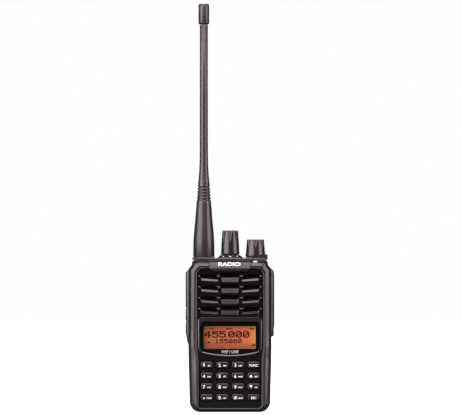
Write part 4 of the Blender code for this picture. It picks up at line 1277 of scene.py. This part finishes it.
def belt_clip():
    _, y, z = middle(PIN)
    lever_half = LEVER.right
    inner = [(20.9, 106.0, 0.3), (20.9, 99.0, 3.0), (22.0, 92.0, 3.0), (23.2, 84.0, 3.0), (23.4, 60.0, 3.0),
             (22.4, 48.0, 3.0), (19.2, 41.0, 3.0), (18.62, 38.5, 0.2)]
    outer = [(20.2, 37.62, 0.5), (21.0, 40.0, 3.0), (24.2, 46.8, 3.0), (25.25, 60.0, 3.0), (25.05, 85.0, 3.0),
             (23.7, 93.5, 3.0), (22.6, 99.0, 3.0), (22.35, 106.5, 0.6)]
    strip = rounded(inner + outer, 4)
    lever = skin([at_side(strip, -lever_half), at_side(strip, lever_half)])

    def taper(shape):
        """Trims the lower end of the lever to a rounded tongue."""
        for side in (-1, 1):
            cut = [(side * 5.2, 30.0), (side * 12.0, 30.0), (side * 12.0, 47.0), (side * lever_half, 45.0),
                   (side * (lever_half - 0.5), 41.5), (side * (lever_half - 1.6), 39.0), (side * 5.2, 37.4)]
            loft(shape, [at_depth(cut, 15.0), at_depth(cut, 30.0)])

    carve(lever, solid(taper))

    def knuckles(shape):
        knuckle = [(y + 2.3 * math.cos(a), z + 2.3 * math.sin(a))
                   for a in (math.pi * (0.5 + step / 20) for step in range(21))]
        knuckle += [(21.6, z - 2.3), (21.6, z + 2.3)]
        for side in (-1, 1):
            loft(shape, [at_side(knuckle, side * 3.4), at_side(knuckle, side * (lever_half - 0.1))])

    carve(lever, solid(knuckles), "UNION")
    carve(lever, solid(lambda shape: rod(shape, 1.25, (-12, 12), (0, y, z), "X")))

    def dimples(shape):
        for line in range(4):
            height = 101.0 + line * 1.2
            block(shape, (-5.5, 5.5), (22.25 - 0.1 * line, 24.0), (height, height + 0.55), 0.2)
        block(shape, (-3.2, 3.2), (24.75, 27.0), (56.0, 84.0), 3.0)

    carve(lever, solid(dimples))
    soften(lever, 0.3, 3, 40)
    dress(lever, "clip_arm", LOOKS["case"], "clip", "case_plastic", "clip_lever")


def carried_over():
    """The frame's own nodes that stay: softer edges and finished materials."""
    looks = {
        "steel": ("clip_pin", "clip_spring", "clip_screw_left", "clip_screw_right", "clip_bracket",
                  "case_screw_left", "case_screw_right", "speaker"),
        "alloy": ("volume_shaft", "channel_shaft", "volume_control", "channel_encoder", "microphone"),
        "gold": ("battery_contacts", "battery_terminals"),
        "blackened": ("antenna_plug", "antenna_jack"),
        "board": ("keypad_board", "main_board"),
        "connector": ("accessory_jacks",),
        "cell": ("battery_cells",),
        "rubber": ("keypad_membrane",),
        "cloth": ("speaker_cloth",),
    }
    for look, names in looks.items():
        for name in names:
            node = frame["nodes"][name]
            node.data.materials.clear()
            node.data.materials.append(LOOKS[look])
            if name not in ("clip_spring", "speaker_cloth"):
                soften(node, 0.08, 2, 40)


# ---------------------------------------------------------------- stage

def pale_floor():
    """A floor that the camera sees as glowing white, and that lights the object as a dark one would."""
    made = plain("Pale floor", (0.05, 0.05, 0.05), 0.8, grain=0.2, relief=0.01, mottle=0.05)
    tree = made.node_tree
    pale = tree.nodes.new("ShaderNodeBsdfDiffuse")
    pale.inputs["Color"].default_value = (0.70, 0.70, 0.70, 1.0)
    glow = tree.nodes.new("ShaderNodeEmission")
    where = tree.nodes.new("ShaderNodeTexCoord")
    away = tree.nodes.new("ShaderNodeVectorMath")
    away.operation = "LENGTH"
    link(tree, where, "Object", away, "Vector")
    fade = remap(tree, away, "Value", 0.10, 0.45, 0.75, 1.0)
    link(tree, fade, "Result", glow, "Strength")
    both = tree.nodes.new("ShaderNodeAddShader")
    tree.links.new(pale.outputs["BSDF"], both.inputs[0])
    tree.links.new(glow.outputs["Emission"], both.inputs[1])
    by_ray(tree, shader_of(made).outputs["BSDF"], both.outputs["Shader"], "Material Output")
    return made


def area(name, place, aim, size, power):
    data = bpy.data.lights.new(name, "AREA")
    data.shape = "RECTANGLE"
    data.size, data.size_y = size
    data.energy = power
    lamp = bpy.data.objects.new(name, data)
    lamp.location = place
    lamp.visible_camera = False
    lamp.rotation_euler = (Vector(aim) - Vector(place)).to_track_quat("-Z", "Y").to_euler()
    bpy.context.scene.collection.objects.link(lamp)


def stage():
    floor = bpy.data.meshes.new("floor")
    shape = bmesh.new()
    bmesh.ops.create_circle(shape, cap_ends=True, segments=96, radius=2.5)
    shape.to_mesh(floor)
    shape.free()
    ground = bpy.data.objects.new("floor", floor)
    ground.location = (0, 0, cad_low[2] - 0.0002)
    floor.materials.append(pale_floor())
    bpy.context.scene.collection.objects.link(ground)

    world = bpy.data.worlds.new("Studio")
    world.use_nodes = True
    bpy.context.scene.world = world
    tree = world.node_tree
    dim = tree.nodes["Background"]
    dim.inputs["Color"].default_value = (1.0, 1.0, 1.0, 1.0)
    dim.inputs["Strength"].default_value = 0.035
    bright = tree.nodes.new("ShaderNodeBackground")
    bright.inputs["Color"].default_value = (1.0, 1.0, 1.0, 1.0)
    by_ray(tree, dim.outputs["Background"], bright.outputs["Background"], "World Output")

    aim = (0.0, 0.0, 0.12)
    bpy.context.scene.view_settings.view_transform = "Standard"
    area("Left softbox", (-0.80, -0.62, 0.20), aim, (1.05, 1.3), 31.0)
    area("Right softbox", (0.93, -0.47, 0.20), aim, (0.65, 1.3), 17.0)
    area("Top softbox", (0.0, -0.62, 0.95), aim, (0.9, 1.1), 20.0)
    area("Back softbox", (0.0, 1.6, 0.30), aim, (1.8, 0.45), 9.0)


def camera():
    """Straight on and level, from far enough away for little perspective."""
    wide = 0.325
    lens = bpy.data.cameras.new("camera")
    lens.lens = 300.0
    lens.sensor_width = 36.0
    eye = bpy.data.objects.new("camera", lens)
    eye.location = (0.0004, CREST * MM - wide * lens.lens / lens.sensor_width, (cad_low[2] + cad_high[2]) / 2)
    eye.rotation_euler = (math.radians(90), 0, 0)
    bpy.context.scene.collection.objects.link(eye)
    bpy.context.scene.camera = eye


front_case()
led_lens()
front_panel()
window_bezel()
display()
keys()
tab_print()
top_deck()
knob("volume_knob", "volume_dial", 0.50)
knob("channel_knob", "channel_dial", 0.50)
antenna()
side_pad()
side_key("ptt_button", "ptt", 7)
side_key("monitor_key", "monitor", 1)
side_key("lamp_key", "lamp", 1)
jack_cover()
chassis()
battery()
belt_clip()
carried_over()
stage()
camera()
